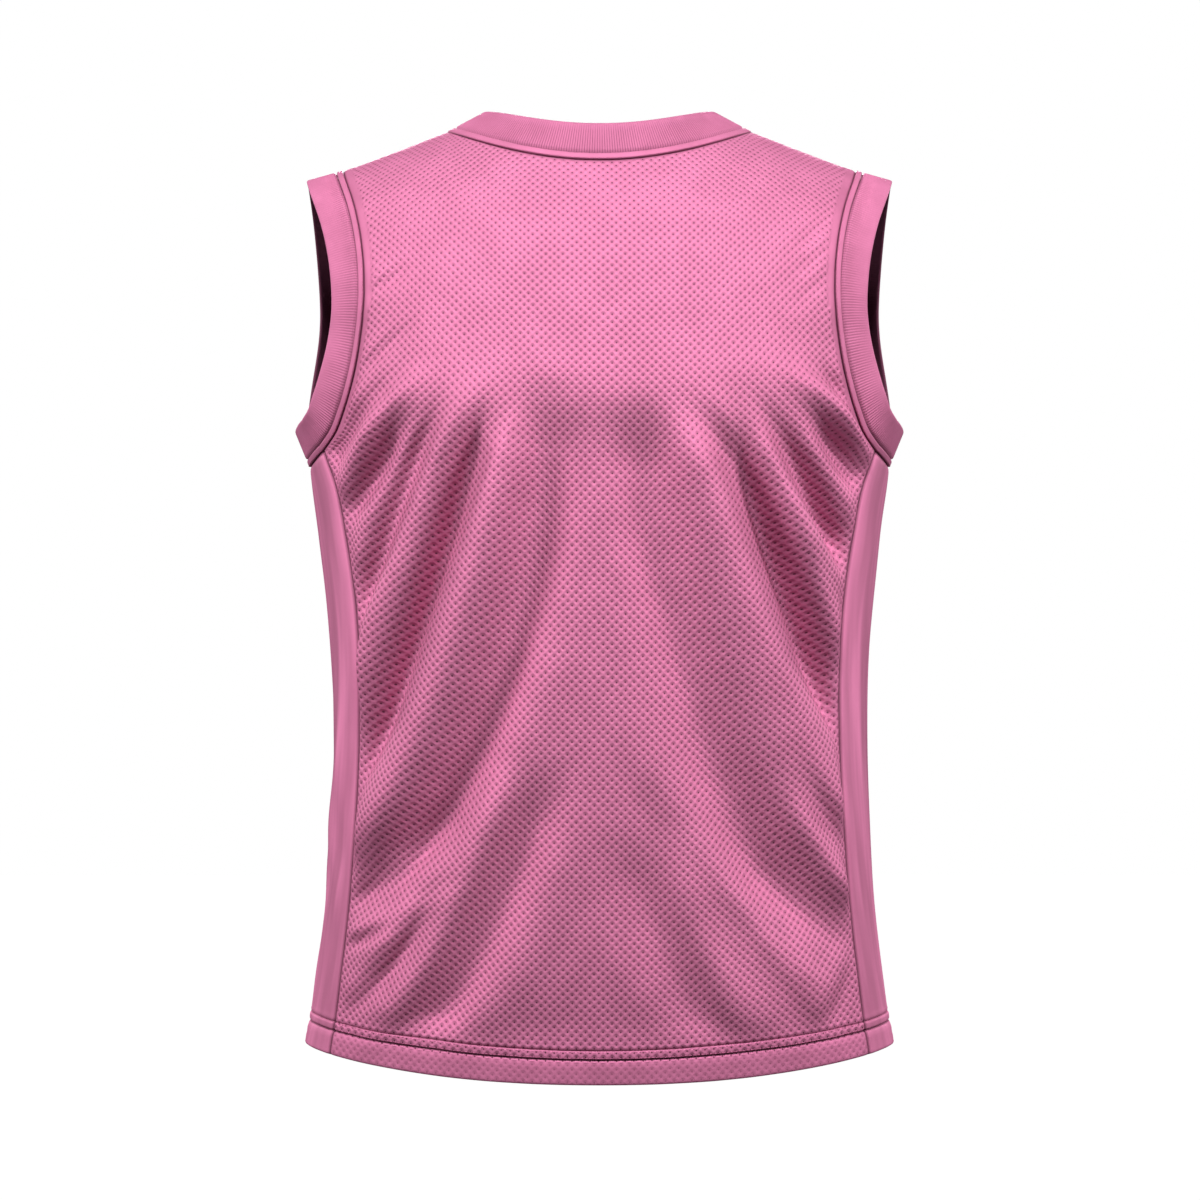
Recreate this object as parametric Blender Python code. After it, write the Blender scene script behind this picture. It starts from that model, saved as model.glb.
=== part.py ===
"""A sleeveless flag football jersey, filled out as it is worn, with no wearer.

Metres, +Z up. The origin is where the wearer's shoulders carry it: midway between the two high shoulder
points of the neck seam. The back of the garment faces -Y, the front faces +Y, and +X is the wearer's right.

Every panel is a wall of cloth. Its outer face is a grid of points on the jersey's form, moved out or in by
the folds, and its inner face is the same grid moved in by the cloth's thickness. Panels, tapes and ribs share
the points of the seams between them, and stop half a seam gap short of them.
"""

import math
from collections import namedtuple

import bpy
import numpy as np

MM = 0.001

# Cloth, in millimetres
SEAM_GAP = 0.3
MESH_CLOTH = 1.6
PLAIN_CLOTH = 1.6
RIB_CLOTH = 2.4
RIB_SWELL = 0.6
RIB_SWELL_REACH = 3.0
RIB_EDGE_SINK = 0.3
TAPE_CLOTH = 2.4
TAPE_RISE = 0.8

# Neck and shoulders
NECK_HALF_WIDTH = 112.0
BACK_NECK_DROP = 25.5
FRONT_NECK_DROP = 88.0
FRONT_NECK_POWER = 0.9
NECK_TAPE_WIDTH = 5.5
NECK_RIB_WIDTH = 26.0
NECK_LIFT = math.radians(7.0)
SHOULDER_SEAM_END = 190.0

# Armholes: the bands lift off the form more and more down to the underarm, and a little on the shoulder
UNDERARM_Z = -237.0
UNDERARM_SAG = 10.5
UNDERARM_SAG_POWER = 6
ARMHOLE_TAPE_WIDTH = 4.5
ARMHOLE_RIB_WIDTH = 23.0
SHOULDER_LIFT = math.radians(4.0)
SHOULDER_LIFT_REACH = 60.0
UNDERARM_LIFT = math.radians(21.0)
UNDERARM_LIFT_REACH = 110.0

# Hem
HEM_SIDE_Z = -673.0
BACK_HEM_DIP = 22.8
FRONT_HEM_DIP = 17.0
HEM_HALF_WIDTH = 218.0
HEM_POWER = 2.2

# Roundness of the sections, and of the yoke that turns over into the shoulder line
SECTION_POWER = 2.3
YOKE_POWER = 1.8
YOKE_DROP_CENTRE = 240.0
YOKE_DROP_SHOULDER = 100.0
YOKE_NEAR_POWER = 1.6

# Grids: segments of each panel
BACK_COLUMNS = 36
FRONT_COLUMNS = 26
NECK_SHARE = 0.6
SIDE_COLUMNS = 6
BODY_ROWS = 18
ARMHOLE_ROWS = 14
BAND_POINTS_EACH = 2
BAND_SMOOTHING = 9
SHARP_EDGE = math.radians(65)

# The form's sections, from the hem up: half width of the back and front halves, and their depths
Section = namedtuple("Section", "z back_width front_width back_depth front_depth")
SECTIONS = [
    Section(-700, 221.0, 221.0, 93, 121),
    Section(-673, 216.8, 216.8, 97, 120),
    Section(-630, 210.5, 210.5, 105, 118),
    Section(-570, 203.0, 203.0, 110, 115),
    Section(-510, 199.3, 199.3, 114, 112),
    Section(-450, 197.3, 197.3, 118, 112),
    Section(-400, 198.0, 198.0, 120, 114),
    Section(-350, 201.5, 201.5, 121, 118),
    Section(-300, 207.5, 207.5, 121, 122),
    Section(-246, 214.0, 214.0, 121, 124),
    Section(-200, 215.5, 222.0, 122, 124),
    Section(-150, 214.5, 224.0, 120, 123),
    Section(-100, 214.5, 224.0, 119, 122),
    Section(-40, 215.0, 222.0, 120, 120),
    Section(30, 215.0, 220.0, 121, 118),
]

# The shoulder line, from the centre of the neck out to the tip
Shoulder = namedtuple("Shoulder", "x z")
SHOULDER_LINE = [
    Shoulder(0, 21.0),
    Shoulder(56, 15.8),
    Shoulder(112, 0.0),
    Shoulder(150, -14.6),
    Shoulder(190, -29.0),
    Shoulder(214, -35.6),
    Shoulder(226, -38.5),
]

# Half widths of the back and front panels at their side seams, as a share of the section's half width
SideSeam = namedtuple("SideSeam", "z share")
SIDE_SEAM = [
    SideSeam(-700, 0.905),
    SideSeam(-580, 0.905),
    SideSeam(-470, 0.892),
    SideSeam(-300, 0.892),
    SideSeam(-262, 0.908),
    SideSeam(-237, 0.943),
]

# Half widths of the back and front panels at the armhole, from the underarm up to the shoulder
Armhole = namedtuple("Armhole", "z back front")
ARMHOLE = [
    Armhole(-237, 202.0, 202.0),
    Armhole(-227, 194.0, 198.0),
    Armhole(-210, 186.5, 195.5),
    Armhole(-185, 179.0, 192.5),
    Armhole(-155, 173.5, 189.5),
    Armhole(-122, 171.0, 188.0),
    Armhole(-90, 173.0, 187.8),
    Armhole(-60, 179.0, 188.3),
    Armhole(-29, 190.0, 190.0),
]

# Hem: height above the edge, how far the outer face stands out, and the cloth's thickness there
HemRow = namedtuple("HemRow", "height rise thickness")
HEM_ROWS = [
    HemRow(0.0, 0.3, 2.8),
    HemRow(17.0, -0.4, 2.4),
    HemRow(20.0, 1.0, 3.0),
    HemRow(23.5, -0.3, 2.0),
    HemRow(28.0, 0.0, 1.6),
]

# Folds: three points of the line that each follows, its half width, and how far it lifts the cloth.
# A trough's lift is less than 0. Skew is how much of the lift lies beside the line, as where cloth overhangs.
Fold = namedtuple("Fold", "x_top z_top x_mid z_mid x_low z_low width lift skew")
# The odd half of a fold's profile is q exp(-q^2), and this makes its highest point 1
SKEW_SCALE = 2.33
BACK_FOLDS = [
    # left half, from the armhole down and in
    Fold(-153, -217, -163, -238, -184, -274, 12, -3.5, 0.8),
    Fold(-137, -224, -156, -255, -177, -303, 12, 1.9, 0.8),
    Fold(-123, -220, -145, -272, -175, -339, 12, -3.5, 0.8),
    Fold(-116, -217, -150, -306, -180, -411, 12, 3.4, 0.8),
    Fold(-93, -213, -131, -325, -178, -457, 15, -6.8, 0.7),
    Fold(-58, -217, -118, -380, -175, -515, 18, 8.5, 0.5),
    Fold(-60, -209, -95, -395, -160, -533, 22, -8.5, 0.8),
    Fold(-51, -382, -103, -495, -153, -565, 17, 5.3, 0.8),
    Fold(-56, -483, -103, -580, -151, -662, 18, -7.6, 0.8),
    Fold(-31, -511, -65, -588, -110, -655, 17, 3.6, 0.8),
    Fold(-127, -572, -150, -600, -179, -633, 12, -2.0, 0.8),
    # right half
    Fold(143, -211, 160, -237, 183, -271, 12, 3.2, 0.8),
    Fold(123, -213, 150, -256, 186, -310, 12, -2.2, 0.6),
    Fold(116, -217, 145, -274, 175, -326, 13, 2.6, 0.6),
    Fold(141, -281, 161, -338, 188, -425, 12, 2.5, 0.6),
    Fold(85, -217, 129, -300, 179, -420, 17, -6.0, 0.6),
    Fold(87, -217, 131, -362, 195, -513, 17, 8.5, 0.8),
    Fold(46, -224, 98, -416, 165, -569, 26, -8.5, 0.8),
    Fold(147, -468, 160, -491, 185, -526, 12, -2.0, 0.8),
    Fold(139, -490, 161, -524, 203, -583, 12, 2.8, 0.8),
    Fold(54, -447, 95, -525, 153, -587, 20, 4.0, 0.8),
    Fold(43, -533, 68, -606, 103, -662, 20, -4.5, 0.8),
]
FRONT_FOLDS = [
    Fold(-150, -210, -166, -240, -182, -268, 10, -3.0, 0.7),
    Fold(-128, -214, -152, -262, -178, -312, 12, 3.5, 0.7),
    Fold(-112, -226, -140, -300, -172, -372, 13, -4.5, 0.7),
    Fold(-88, -236, -122, -350, -168, -458, 15, 5.0, 0.7),
    Fold(-60, -260, -98, -400, -160, -530, 17, -6.0, 0.7),
    Fold(-36, -330, -74, -470, -140, -600, 18, 5.0, 0.7),
    Fold(-26, -450, -52, -560, -96, -652, 18, -4.5, 0.7),
    Fold(150, -206, 168, -238, 184, -272, 10, -3.0, 0.7),
    Fold(124, -216, 150, -270, 178, -326, 12, 3.5, 0.7),
    Fold(106, -222, 138, -310, 174, -398, 13, -4.5, 0.7),
    Fold(84, -240, 124, -364, 170, -488, 15, 5.0, 0.7),
    Fold(54, -280, 90, -424, 158, -556, 18, -6.0, 0.7),
    Fold(30, -380, 70, -510, 130, -634, 18, 5.0, 0.7),
    Fold(16, -500, 40, -590, 74, -656, 18, -3.5, 0.7),
]
# A fold starts and ends over this height, and dies out this close to a panel's side and above the hem
FOLD_END = 34.0
FOLD_EDGE = 20.0
FOLD_ABOVE_HEM = 20.0
FOLD_AT_HEM = 0.3
# The overhang of the back at the shoulder blades: how far it stands out, where, and over what height
BLADE_RISE = 6.0
BLADE_Z = -200.0
BLADE_HEIGHT = 32.0
# Creases of the side panels: how deep, how many across, and how much they lean
SIDE_CREASE = 1.6
SIDE_CREASE_WAVES = 1.5
SIDE_CREASE_LEAN = 3.0


def curve(rows, column, at):
    """The smooth curve through a table's rows, read at one value of its first column."""
    xs = np.array([row[0] for row in rows], float)
    ys = np.array([getattr(row, column) for row in rows], float)
    slopes = np.gradient(ys, xs)
    i = int(np.clip(np.searchsorted(xs, at) - 1, 0, len(xs) - 2))
    span = xs[i + 1] - xs[i]
    t = min(max((at - xs[i]) / span, 0.0), 1.0)
    rise = ys[i + 1] - ys[i]
    start = span * slopes[i]
    end = span * slopes[i + 1]
    return ys[i] + t * (start + t * (3 * rise - 2 * start - end + t * (start + end - 2 * rise)))


def smooth_step(value):
    """0 below 0, 1 above 1, and smooth between."""
    t = min(max(value, 0.0), 1.0)
    return t * t * (3 - 2 * t)


def shoulder_z(x):
    return curve(SHOULDER_LINE, "z", abs(x))


def form_y(x, z, half):
    """The form's Y at a point of the back (half -1) or front (half 1), as seen from the front."""
    side = "back" if half < 0 else "front"
    width = curve(SECTIONS, side + "_width", z)
    depth = curve(SECTIONS, side + "_depth", z)
    across = max(0.0, 1.0 - min(1.0, abs(x) / width) ** SECTION_POWER) ** (1 / SECTION_POWER)
    near = min(1.0, abs(x) / SHOULDER_SEAM_END) ** YOKE_NEAR_POWER
    drop = YOKE_DROP_CENTRE + (YOKE_DROP_SHOULDER - YOKE_DROP_CENTRE) * near
    below = min(max((shoulder_z(x) - z) / drop, 0.0), 1.0)
    yoke = (1.0 - (1.0 - below) ** YOKE_POWER) ** (1 / YOKE_POWER)
    return half * depth * across * yoke


def form_point(x, z, half):
    return np.array([x, form_y(x, z, half), z])


def form_normal(x, z, half):
    """The form's outward direction. On the shoulder line it has no Y."""
    step = 0.05
    if shoulder_z(x) - z < step:
        slope = (shoulder_z(x + step) - shoulder_z(x - step)) / (2 * step)
        normal = np.array([-slope, 0.0, 1.0])
    else:
        dx = form_y(x + step, z, half) - form_y(x - step, z, half)
        dz = form_y(x, z + step, half) - form_y(x, z - step, half)
        normal = half * np.array([-dx, 2 * step, -dz])
    return normal / np.linalg.norm(normal)


def side_point(angle, z, side):
    """A point of the form's side, and its outward direction.

    The angle is 0 at the side, and less than 0 behind it.
    """
    half_name = "back" if angle < 0 else "front"
    width = curve(SECTIONS, half_name + "_width", z)
    depth = curve(SECTIONS, half_name + "_depth", z)
    x = width * math.cos(angle) ** (2 / SECTION_POWER)
    y = math.copysign(depth * abs(math.sin(angle)) ** (2 / SECTION_POWER), angle)
    normal = np.array([
        side * (x / width) ** (SECTION_POWER - 1) / width,
        math.copysign((abs(y) / depth) ** (SECTION_POWER - 1) / depth, y),
        0.0,
    ])
    return np.array([side * x, y, z]), normal / np.linalg.norm(normal)


def panel_half_width(z, half):
    """Half width of a panel at its side edge: the side seam below the underarm, the armhole above."""
    side = "back" if half < 0 else "front"
    if z >= UNDERARM_Z:
        return curve(ARMHOLE, side, z)
    return curve(SIDE_SEAM, "share", z) * curve(SECTIONS, side + "_width", z)


def hem_z(x, half):
    dip = BACK_HEM_DIP if half < 0 else FRONT_HEM_DIP
    return HEM_SIDE_Z - dip * (1 - (abs(x) / HEM_HALF_WIDTH) ** HEM_POWER)


def top_z(x, half):
    """The panel's top edge: the shoulder seam, and the neck seam between the high shoulder points."""
    if abs(x) >= NECK_HALF_WIDTH:
        return shoulder_z(x)
    share = abs(x) / NECK_HALF_WIDTH
    if half < 0:
        return -BACK_NECK_DROP * (1 - share**2)
    return -FRONT_NECK_DROP * (1 - share**2) ** FRONT_NECK_POWER


def fold_rise(x, z, folds):
    """How far the folds lift the cloth at a point of a panel."""
    rise = 0.0
    for fold in folds:
        top, mid, low = fold.z_top, fold.z_mid, fold.z_low
        if not low - FOLD_END < z < top + FOLD_END:
            continue
        a = fold.x_top * (z - mid) * (z - low) / ((top - mid) * (top - low))
        b = fold.x_mid * (z - top) * (z - low) / ((mid - top) * (mid - low))
        c = fold.x_low * (z - top) * (z - mid) / ((low - top) * (low - mid))
        lean = (fold.x_low - fold.x_top) / (low - top)
        off = (x - a - b - c) / math.hypot(1.0, lean) / fold.width
        begun = smooth_step((top + FOLD_END - z) / (2 * FOLD_END))
        ended = smooth_step((low - FOLD_END - z) / (2 * FOLD_END) + 1)
        inward = -math.copysign(off, off * fold.x_low)
        profile = (1 - fold.skew + fold.skew * SKEW_SCALE * inward) * math.exp(-off * off)
        rise += fold.lift * begun * (1 - ended) * profile
    return rise


def row_levels():
    """Heights of the panels' rows on their side edges, and the hem's rise and thickness on each row."""
    hem = hem_z(panel_half_width(HEM_SIDE_Z, -1), -1)
    levels = [(hem + row.height, row.rise, row.thickness) for row in HEM_ROWS]
    start = levels[-1][0]
    for i in range(1, BODY_ROWS + 1):
        levels.append((start + (UNDERARM_Z - start) * i / BODY_ROWS, 0.0, None))
    top = shoulder_z(SHOULDER_SEAM_END)
    for i in range(1, ARMHOLE_ROWS + 1):
        share = (1 - i / ARMHOLE_ROWS) ** 1.6
        levels.append((top + (UNDERARM_Z - top) * share, 0.0, None))
    return levels


def column_shares(columns, half):
    """Each column's share of the half width lower down, and on the top edge, and the columns of the neck."""
    even = np.linspace(-1, 1, columns + 1)
    neck = 2 * round(columns * NECK_SHARE / 2)
    shoulder = (columns - neck) // 2
    out = np.linspace(SHOULDER_SEAM_END, NECK_HALF_WIDTH, shoulder + 1)[:-1] / SHOULDER_SEAM_END
    turns = np.linspace(-math.pi / 2, math.pi / 2, neck + 1)
    round_neck = np.sin(turns) * NECK_HALF_WIDTH / SHOULDER_SEAM_END
    top = np.concatenate([-out, round_neck, out[::-1]])
    return even, top, (shoulder, shoulder + neck)


def wall(name, outer, inner, look, closed_rows=False, slant=None):
    """One closed body from two grids of points: outer and inner faces, and the edges between them."""
    rows, columns = outer.shape[:2]
    points = np.concatenate([outer.reshape(-1, 3), inner.reshape(-1, 3)]) * MM
    count = rows * columns
    faces = []
    wraps = rows if closed_rows else rows - 1
    for i in range(wraps):
        k = (i + 1) % rows
        for j in range(columns - 1):
            a, b, c, d = i * columns + j, i * columns + j + 1, k * columns + j + 1, k * columns + j
            leans = slant is not None and slant(outer[i, j])
            pair = [(a, b, d), (b, c, d)] if leans else [(a, b, c), (a, c, d)]
            faces += pair
            faces += [(t[2] + count, t[1] + count, t[0] + count) for t in pair]
        for j, flip in ((0, True), (columns - 1, False)):
            a, d = i * columns + j, k * columns + j
            edge = [(a, a + count, d + count, d), (a, d, d + count, a + count)][flip]
            faces += [edge]
    if not closed_rows:
        for i, flip in ((0, False), (rows - 1, True)):
            for j in range(columns - 1):
                a, b = i * columns + j, i * columns + j + 1
                edge = [(a, a + count, b + count, b), (a, b, b + count, a + count)][flip]
                faces += [edge]
    mesh = bpy.data.meshes.new(name)
    mesh.from_pydata([tuple(p) for p in points], [], faces)
    mesh.validate()
    made = bpy.data.objects.new(name, mesh)
    bpy.context.scene.collection.objects.link(made)
    mesh.materials.append(cloth_material(*look))
    mesh.shade_smooth()
    mesh.set_sharp_from_angle(angle=SHARP_EDGE)


def cloth_material(name, colour, roughness):
    if name in bpy.data.materials:
        return bpy.data.materials[name]
    material = bpy.data.materials.new(name)
    material.use_nodes = True
    shader = material.node_tree.nodes["Principled BSDF"]
    shader.inputs["Base Color"].default_value = (*colour, 1.0)
    shader.inputs["Roughness"].default_value = roughness
    shader.inputs["Metallic"].default_value = 0.0
    return material


MESH_LOOK = ("pink_mesh", (0.92, 0.26, 0.50), 0.6)
PLAIN_LOOK = ("pink_plain_knit", (0.90, 0.25, 0.48), 0.55)
RIB_LOOK = ("pink_rib_knit", (0.90, 0.26, 0.49), 0.75)


def panel(name, half, columns, folds):
    """The back (half -1) or front (half 1) panel. Returns the edges that its neighbours share."""
    levels = row_levels()
    even, on_top, neck_span = column_shares(columns, half)
    first, last = levels[0][0], levels[-1][0]
    outer = np.zeros((len(levels), columns + 1, 3))
    inner = np.zeros_like(outer)
    seam = np.zeros_like(outer)
    normals = np.zeros_like(outer)
    for i, (side_z, hem_rise, thickness) in enumerate(levels):
        up = (side_z - first) / (last - first)
        gather = smooth_step((side_z - UNDERARM_Z) / (last - UNDERARM_Z))
        width = panel_half_width(side_z, half)
        for j in range(columns + 1):
            share = even[j] + (on_top[j] - even[j]) * gather
            low = hem_z(even[j] * panel_half_width(first, half), half)
            high = top_z(on_top[j] * SHOULDER_SEAM_END, half)
            if abs(even[j]) == 1.0:
                low, high = first, last
            x, z = share * width, low + up * (high - low)
            at = form_point(x, z, half)
            normal = form_normal(x, z, half)
            inside = smooth_step((width - abs(x)) / FOLD_EDGE)
            above_hem = smooth_step((z - low - HEM_ROWS[-1].height) / FOLD_ABOVE_HEM + FOLD_AT_HEM)
            rise = fold_rise(x, z, folds) * inside * above_hem + hem_rise
            if half < 0:
                rise += BLADE_RISE * math.exp(-(((z - BLADE_Z) / BLADE_HEIGHT) ** 2)) * inside
            seam[i, j], normals[i, j] = at, normal
            outer[i, j] = at + rise * normal
            inner[i, j] = outer[i, j] - (thickness or MESH_CLOTH) * normal
    trim_edges(seam, outer, inner)
    if half > 0:
        outer, inner = outer[:, ::-1], inner[:, ::-1]
    wall(name, outer, inner, MESH_LOOK, slant=lambda p: p[0] * half < 0)
    return seam, normals, neck_span


def trim_edges(seam, outer, inner):
    """Moves a wall's side and top edges in by half a seam gap, along the cloth."""
    back_off = SEAM_GAP / 2
    rows = slice(None)
    for edge, beside in (((rows, 0), (rows, 1)), ((rows, -1), (rows, -2)), ((-1,), (-2,))):
        along = seam[beside] - seam[edge]
        along = along / np.maximum(np.linalg.norm(along, axis=-1, keepdims=True), 1e-9)
        outer[edge] += along * back_off
        inner[edge] += along * back_off


def side_panel(name, side):
    """The plain panel under one arm, from back seam to front seam. Returns its top edge."""
    levels = [level for level in row_levels() if level[0] <= UNDERARM_Z + 0.01]
    outer = np.zeros((len(levels), SIDE_COLUMNS + 1, 3))
    inner = np.zeros_like(outer)
    seam = np.zeros_like(outer)
    normals = np.zeros_like(outer)
    hem = levels[0][0]
    for i, (side_z, hem_rise, thickness) in enumerate(levels):
        share = curve(SIDE_SEAM, "share", side_z)
        reach = math.acos(min(1.0, share ** (SECTION_POWER / 2)))
        up = (side_z - hem) / (UNDERARM_Z - hem)
        for j in range(SIDE_COLUMNS + 1):
            across = 2 * j / SIDE_COLUMNS - 1
            bow = 1 - across**2
            z = side_z + bow * ((1 - up) * (HEM_SIDE_Z - hem) - up**UNDERARM_SAG_POWER * UNDERARM_SAG)
            angle = across * reach
            if j in (0, SIDE_COLUMNS):
                half = -1 if j == 0 else 1
                x = side * panel_half_width(side_z, half)
                at, normal = form_point(x, side_z, half), form_normal(x, side_z, half)
            else:
                at, normal = side_point(angle, z, side)
            wave = math.cos(2 * math.pi * SIDE_CREASE_WAVES * across + SIDE_CREASE_LEAN * up)
            rise = hem_rise + SIDE_CREASE * wave * bow * math.sin(math.pi * up)
            seam[i, j], normals[i, j] = at, normal
            outer[i, j] = at + rise * normal
            inner[i, j] = outer[i, j] - (thickness or PLAIN_CLOTH) * normal
    trim_edges(seam, outer, inner)
    if side < 0:
        outer, inner = outer[:, ::-1], inner[:, ::-1]
    wall(name, outer, inner, PLAIN_LOOK)
    return seam[-1], normals[-1]


def finer(loop, each):
    """The loop with more points on its straight stretches, so that its pieces keep to the panels' edges."""
    after = np.roll(loop, -1, axis=0)
    steps = np.arange(each)[None, :, None] / each
    return (loop[:, None] * (1 - steps) + after[:, None] * steps).reshape(-1, 3)


def smoothed(vectors):
    """Directions round a loop, each averaged with its neighbours."""
    for _ in range(BAND_SMOOTHING):
        vectors = (np.roll(vectors, 1, axis=0) + 2 * vectors + np.roll(vectors, -1, axis=0)) / 4
    return vectors / np.linalg.norm(vectors, axis=1, keepdims=True)


def band(name, loop, normals, lifts, profile, thickness, look):
    """A closed strip of cloth beside a loop of seam points.

    It leaves the seam along the cloth, lifted by an angle at each point. The profile has rows of how far
    from the seam, and how far the outer face stands out there.
    """
    along = smoothed(np.roll(loop, -1, axis=0) - np.roll(loop, 1, axis=0))
    normal = smoothed(normals - along * np.sum(normals * along, axis=1, keepdims=True))
    away = smoothed(np.cross(along, normal))
    cos, sin = np.cos(lifts)[:, None], np.sin(lifts)[:, None]
    out = cos * away + sin * normal
    face = cos * normal - sin * away
    outer = np.stack([loop + out * far + face * rise for far, rise in profile], axis=1)
    inner = np.stack([outer[:, j] - face * thickness for j in range(len(profile))], axis=1)
    wall(name, outer, inner, look, closed_rows=True)


def tape_profile(width):
    return [(SEAM_GAP / 2, TAPE_RISE), (width - SEAM_GAP / 2, TAPE_RISE)]


def rib_profile(start, width):
    first, end = start + SEAM_GAP / 2, start + width
    full = [(first + RIB_SWELL_REACH, RIB_SWELL), (end - RIB_SWELL_REACH, RIB_SWELL)]
    return [(first, 0.0), *full, (end, -RIB_EDGE_SINK)]


def build_neck(back, front):
    """The tape along the neck seam, and the rib collar that stands on it."""
    (back_seam, back_normals, (b0, b1)), (front_seam, front_normals, (f0, f1)) = back, front
    loop = np.concatenate([back_seam[-1, b0 : b1 + 1][::-1], front_seam[-1, f0 + 1 : f1]])
    normals = np.concatenate([back_normals[-1, b0 : b1 + 1][::-1], front_normals[-1, f0 + 1 : f1]])
    loop, normals = finer(loop, BAND_POINTS_EACH), finer(normals, BAND_POINTS_EACH)
    lifts = np.full(len(loop), NECK_LIFT)
    band("neck_tape", loop, normals, lifts, tape_profile(NECK_TAPE_WIDTH), TAPE_CLOTH, PLAIN_LOOK)
    profile = rib_profile(NECK_TAPE_WIDTH, NECK_RIB_WIDTH)
    band("neck_rib", loop, normals, lifts, profile, RIB_CLOTH, RIB_LOOK)


def build_armhole(name, side, back, front, under):
    """The tape along one armhole's seam, and its rib band."""
    edge = 0 if side < 0 else -1
    start = len(HEM_ROWS) - 1 + BODY_ROWS
    parts = []
    for k in (0, 1):
        down = back[k][start:, edge][::-1]
        across = under[k][1:-1]
        up = front[k][start:-1, edge]
        parts.append(np.concatenate([down, across, up]))
    loop, normals = (part if side < 0 else part[::-1] for part in parts)
    loop, normals = finer(loop, BAND_POINTS_EACH), finer(normals, BAND_POINTS_EACH)
    top = np.clip((loop[:, 2] - loop[:, 2].max()) / SHOULDER_LIFT_REACH + 1, 0, 1)
    low = [smooth_step((UNDERARM_Z - z) / UNDERARM_LIFT_REACH + 1) for z in loop[:, 2]]
    lifts = SHOULDER_LIFT * top + UNDERARM_LIFT * np.array(low)
    profile = tape_profile(ARMHOLE_TAPE_WIDTH)
    band("armhole_tape_" + name, loop, normals, lifts, profile, TAPE_CLOTH, PLAIN_LOOK)
    profile = rib_profile(ARMHOLE_TAPE_WIDTH, ARMHOLE_RIB_WIDTH)
    band("armhole_rib_" + name, loop, normals, lifts, profile, RIB_CLOTH, RIB_LOOK)


def main():
    for old in list(bpy.data.objects):
        bpy.data.objects.remove(old, do_unlink=True)
    back = panel("back_panel", -1, BACK_COLUMNS, BACK_FOLDS)
    front = panel("front_panel", 1, FRONT_COLUMNS, FRONT_FOLDS)
    build_neck(back, front)
    for name, side in (("left", -1), ("right", 1)):
        under = side_panel("side_panel_" + name, side)
        build_armhole(name, side, back, front, under)


main()
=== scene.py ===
"""The looks of a sleeveless flag football jersey, filled out as worn, with no wearer.

The back faces -Y and the camera, the front faces +Y, and the origin lies between the high shoulder
points. The cloth's shape is worked out in millimetres. Meshes, materials and lights are in metres.
"""

import logging
import math
from dataclasses import dataclass, field
from enum import Enum
from typing import Callable, ClassVar, NamedTuple, Optional, Sequence

import bpy
import numpy as np
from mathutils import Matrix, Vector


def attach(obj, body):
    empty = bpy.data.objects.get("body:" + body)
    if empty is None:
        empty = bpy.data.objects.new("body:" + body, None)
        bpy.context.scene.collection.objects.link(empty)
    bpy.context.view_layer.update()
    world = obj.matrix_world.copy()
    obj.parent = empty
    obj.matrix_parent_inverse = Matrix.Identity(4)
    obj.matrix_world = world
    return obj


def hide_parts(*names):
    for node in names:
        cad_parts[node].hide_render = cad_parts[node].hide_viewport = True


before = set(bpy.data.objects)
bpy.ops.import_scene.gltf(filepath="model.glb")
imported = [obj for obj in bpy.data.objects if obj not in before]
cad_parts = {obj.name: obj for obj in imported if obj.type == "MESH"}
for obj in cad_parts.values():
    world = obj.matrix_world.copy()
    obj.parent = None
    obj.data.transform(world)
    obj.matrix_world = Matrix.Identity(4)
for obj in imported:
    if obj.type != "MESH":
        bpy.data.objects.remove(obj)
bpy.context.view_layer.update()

LOG = logging.getLogger("jersey")
MM = 0.001
SHARP_ANGLE = math.radians(60.0)
SHORTEST = 1e-9
WHITE = (1.0, 1.0, 1.0, 1.0)

Array = np.ndarray


class Half(Enum):
    """The two halves of the body, by the sign of Y."""

    BACK = -1
    FRONT = 1


class Side(Enum):
    """The wearer's two sides, by the sign of X."""

    LEFT = -1
    RIGHT = 1


class Station(NamedTuple):
    """A section of the form: half widths and depths of its back and front."""

    z: float
    back_width: float
    front_width: float
    back_depth: float
    front_depth: float


class Shoulder(NamedTuple):
    """A point of the shoulder line."""

    x: float
    z: float


class SideSeam(NamedTuple):
    """Where a side seam lies, as a share of the form's half width."""

    z: float
    share: float


class Armhole(NamedTuple):
    """Half widths of the back and front panels at the armhole."""

    z: float
    back: float
    front: float


class HemRow(NamedTuple):
    """Height above the hem's edge, how far the cloth stands out there, and its thickness."""

    height: float
    rise: float
    thickness: float


class Crease(NamedTuple):
    """A fold: three points of its line, its half widths, its lift, and its skew.

    The inner half width is the one towards the panel's middle. A lift below 0 is a trough. Skew is the
    share of the lift that lies beside the line, as where cloth overhangs.
    """

    x_top: float
    z_top: float
    x_mid: float
    z_mid: float
    x_low: float
    z_low: float
    inner: float
    outer: float
    lift: float
    skew: float


class Swell(NamedTuple):
    """A broad swelling of the cloth, or a broad hollow where the lift is below 0."""

    x: float
    z: float
    lift: float


class PaintedHemShade(NamedTuple):
    """Shade painted in a groove beside the hem's ridge: its height, how far it spreads, and how dark it
    is.
    """

    height: float
    spread: float
    shade: float


class StitchRing(NamedTuple):
    """A section of one stitch: its place along the stitch, and its height and size for a radius of 1."""

    place: float
    height: float
    size: float


class SoftBox(NamedTuple):
    """A round soft light: where it stands as seen from the jersey, its size and its power."""

    name: str
    turn: float
    height: float
    size: float
    power: float


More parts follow.
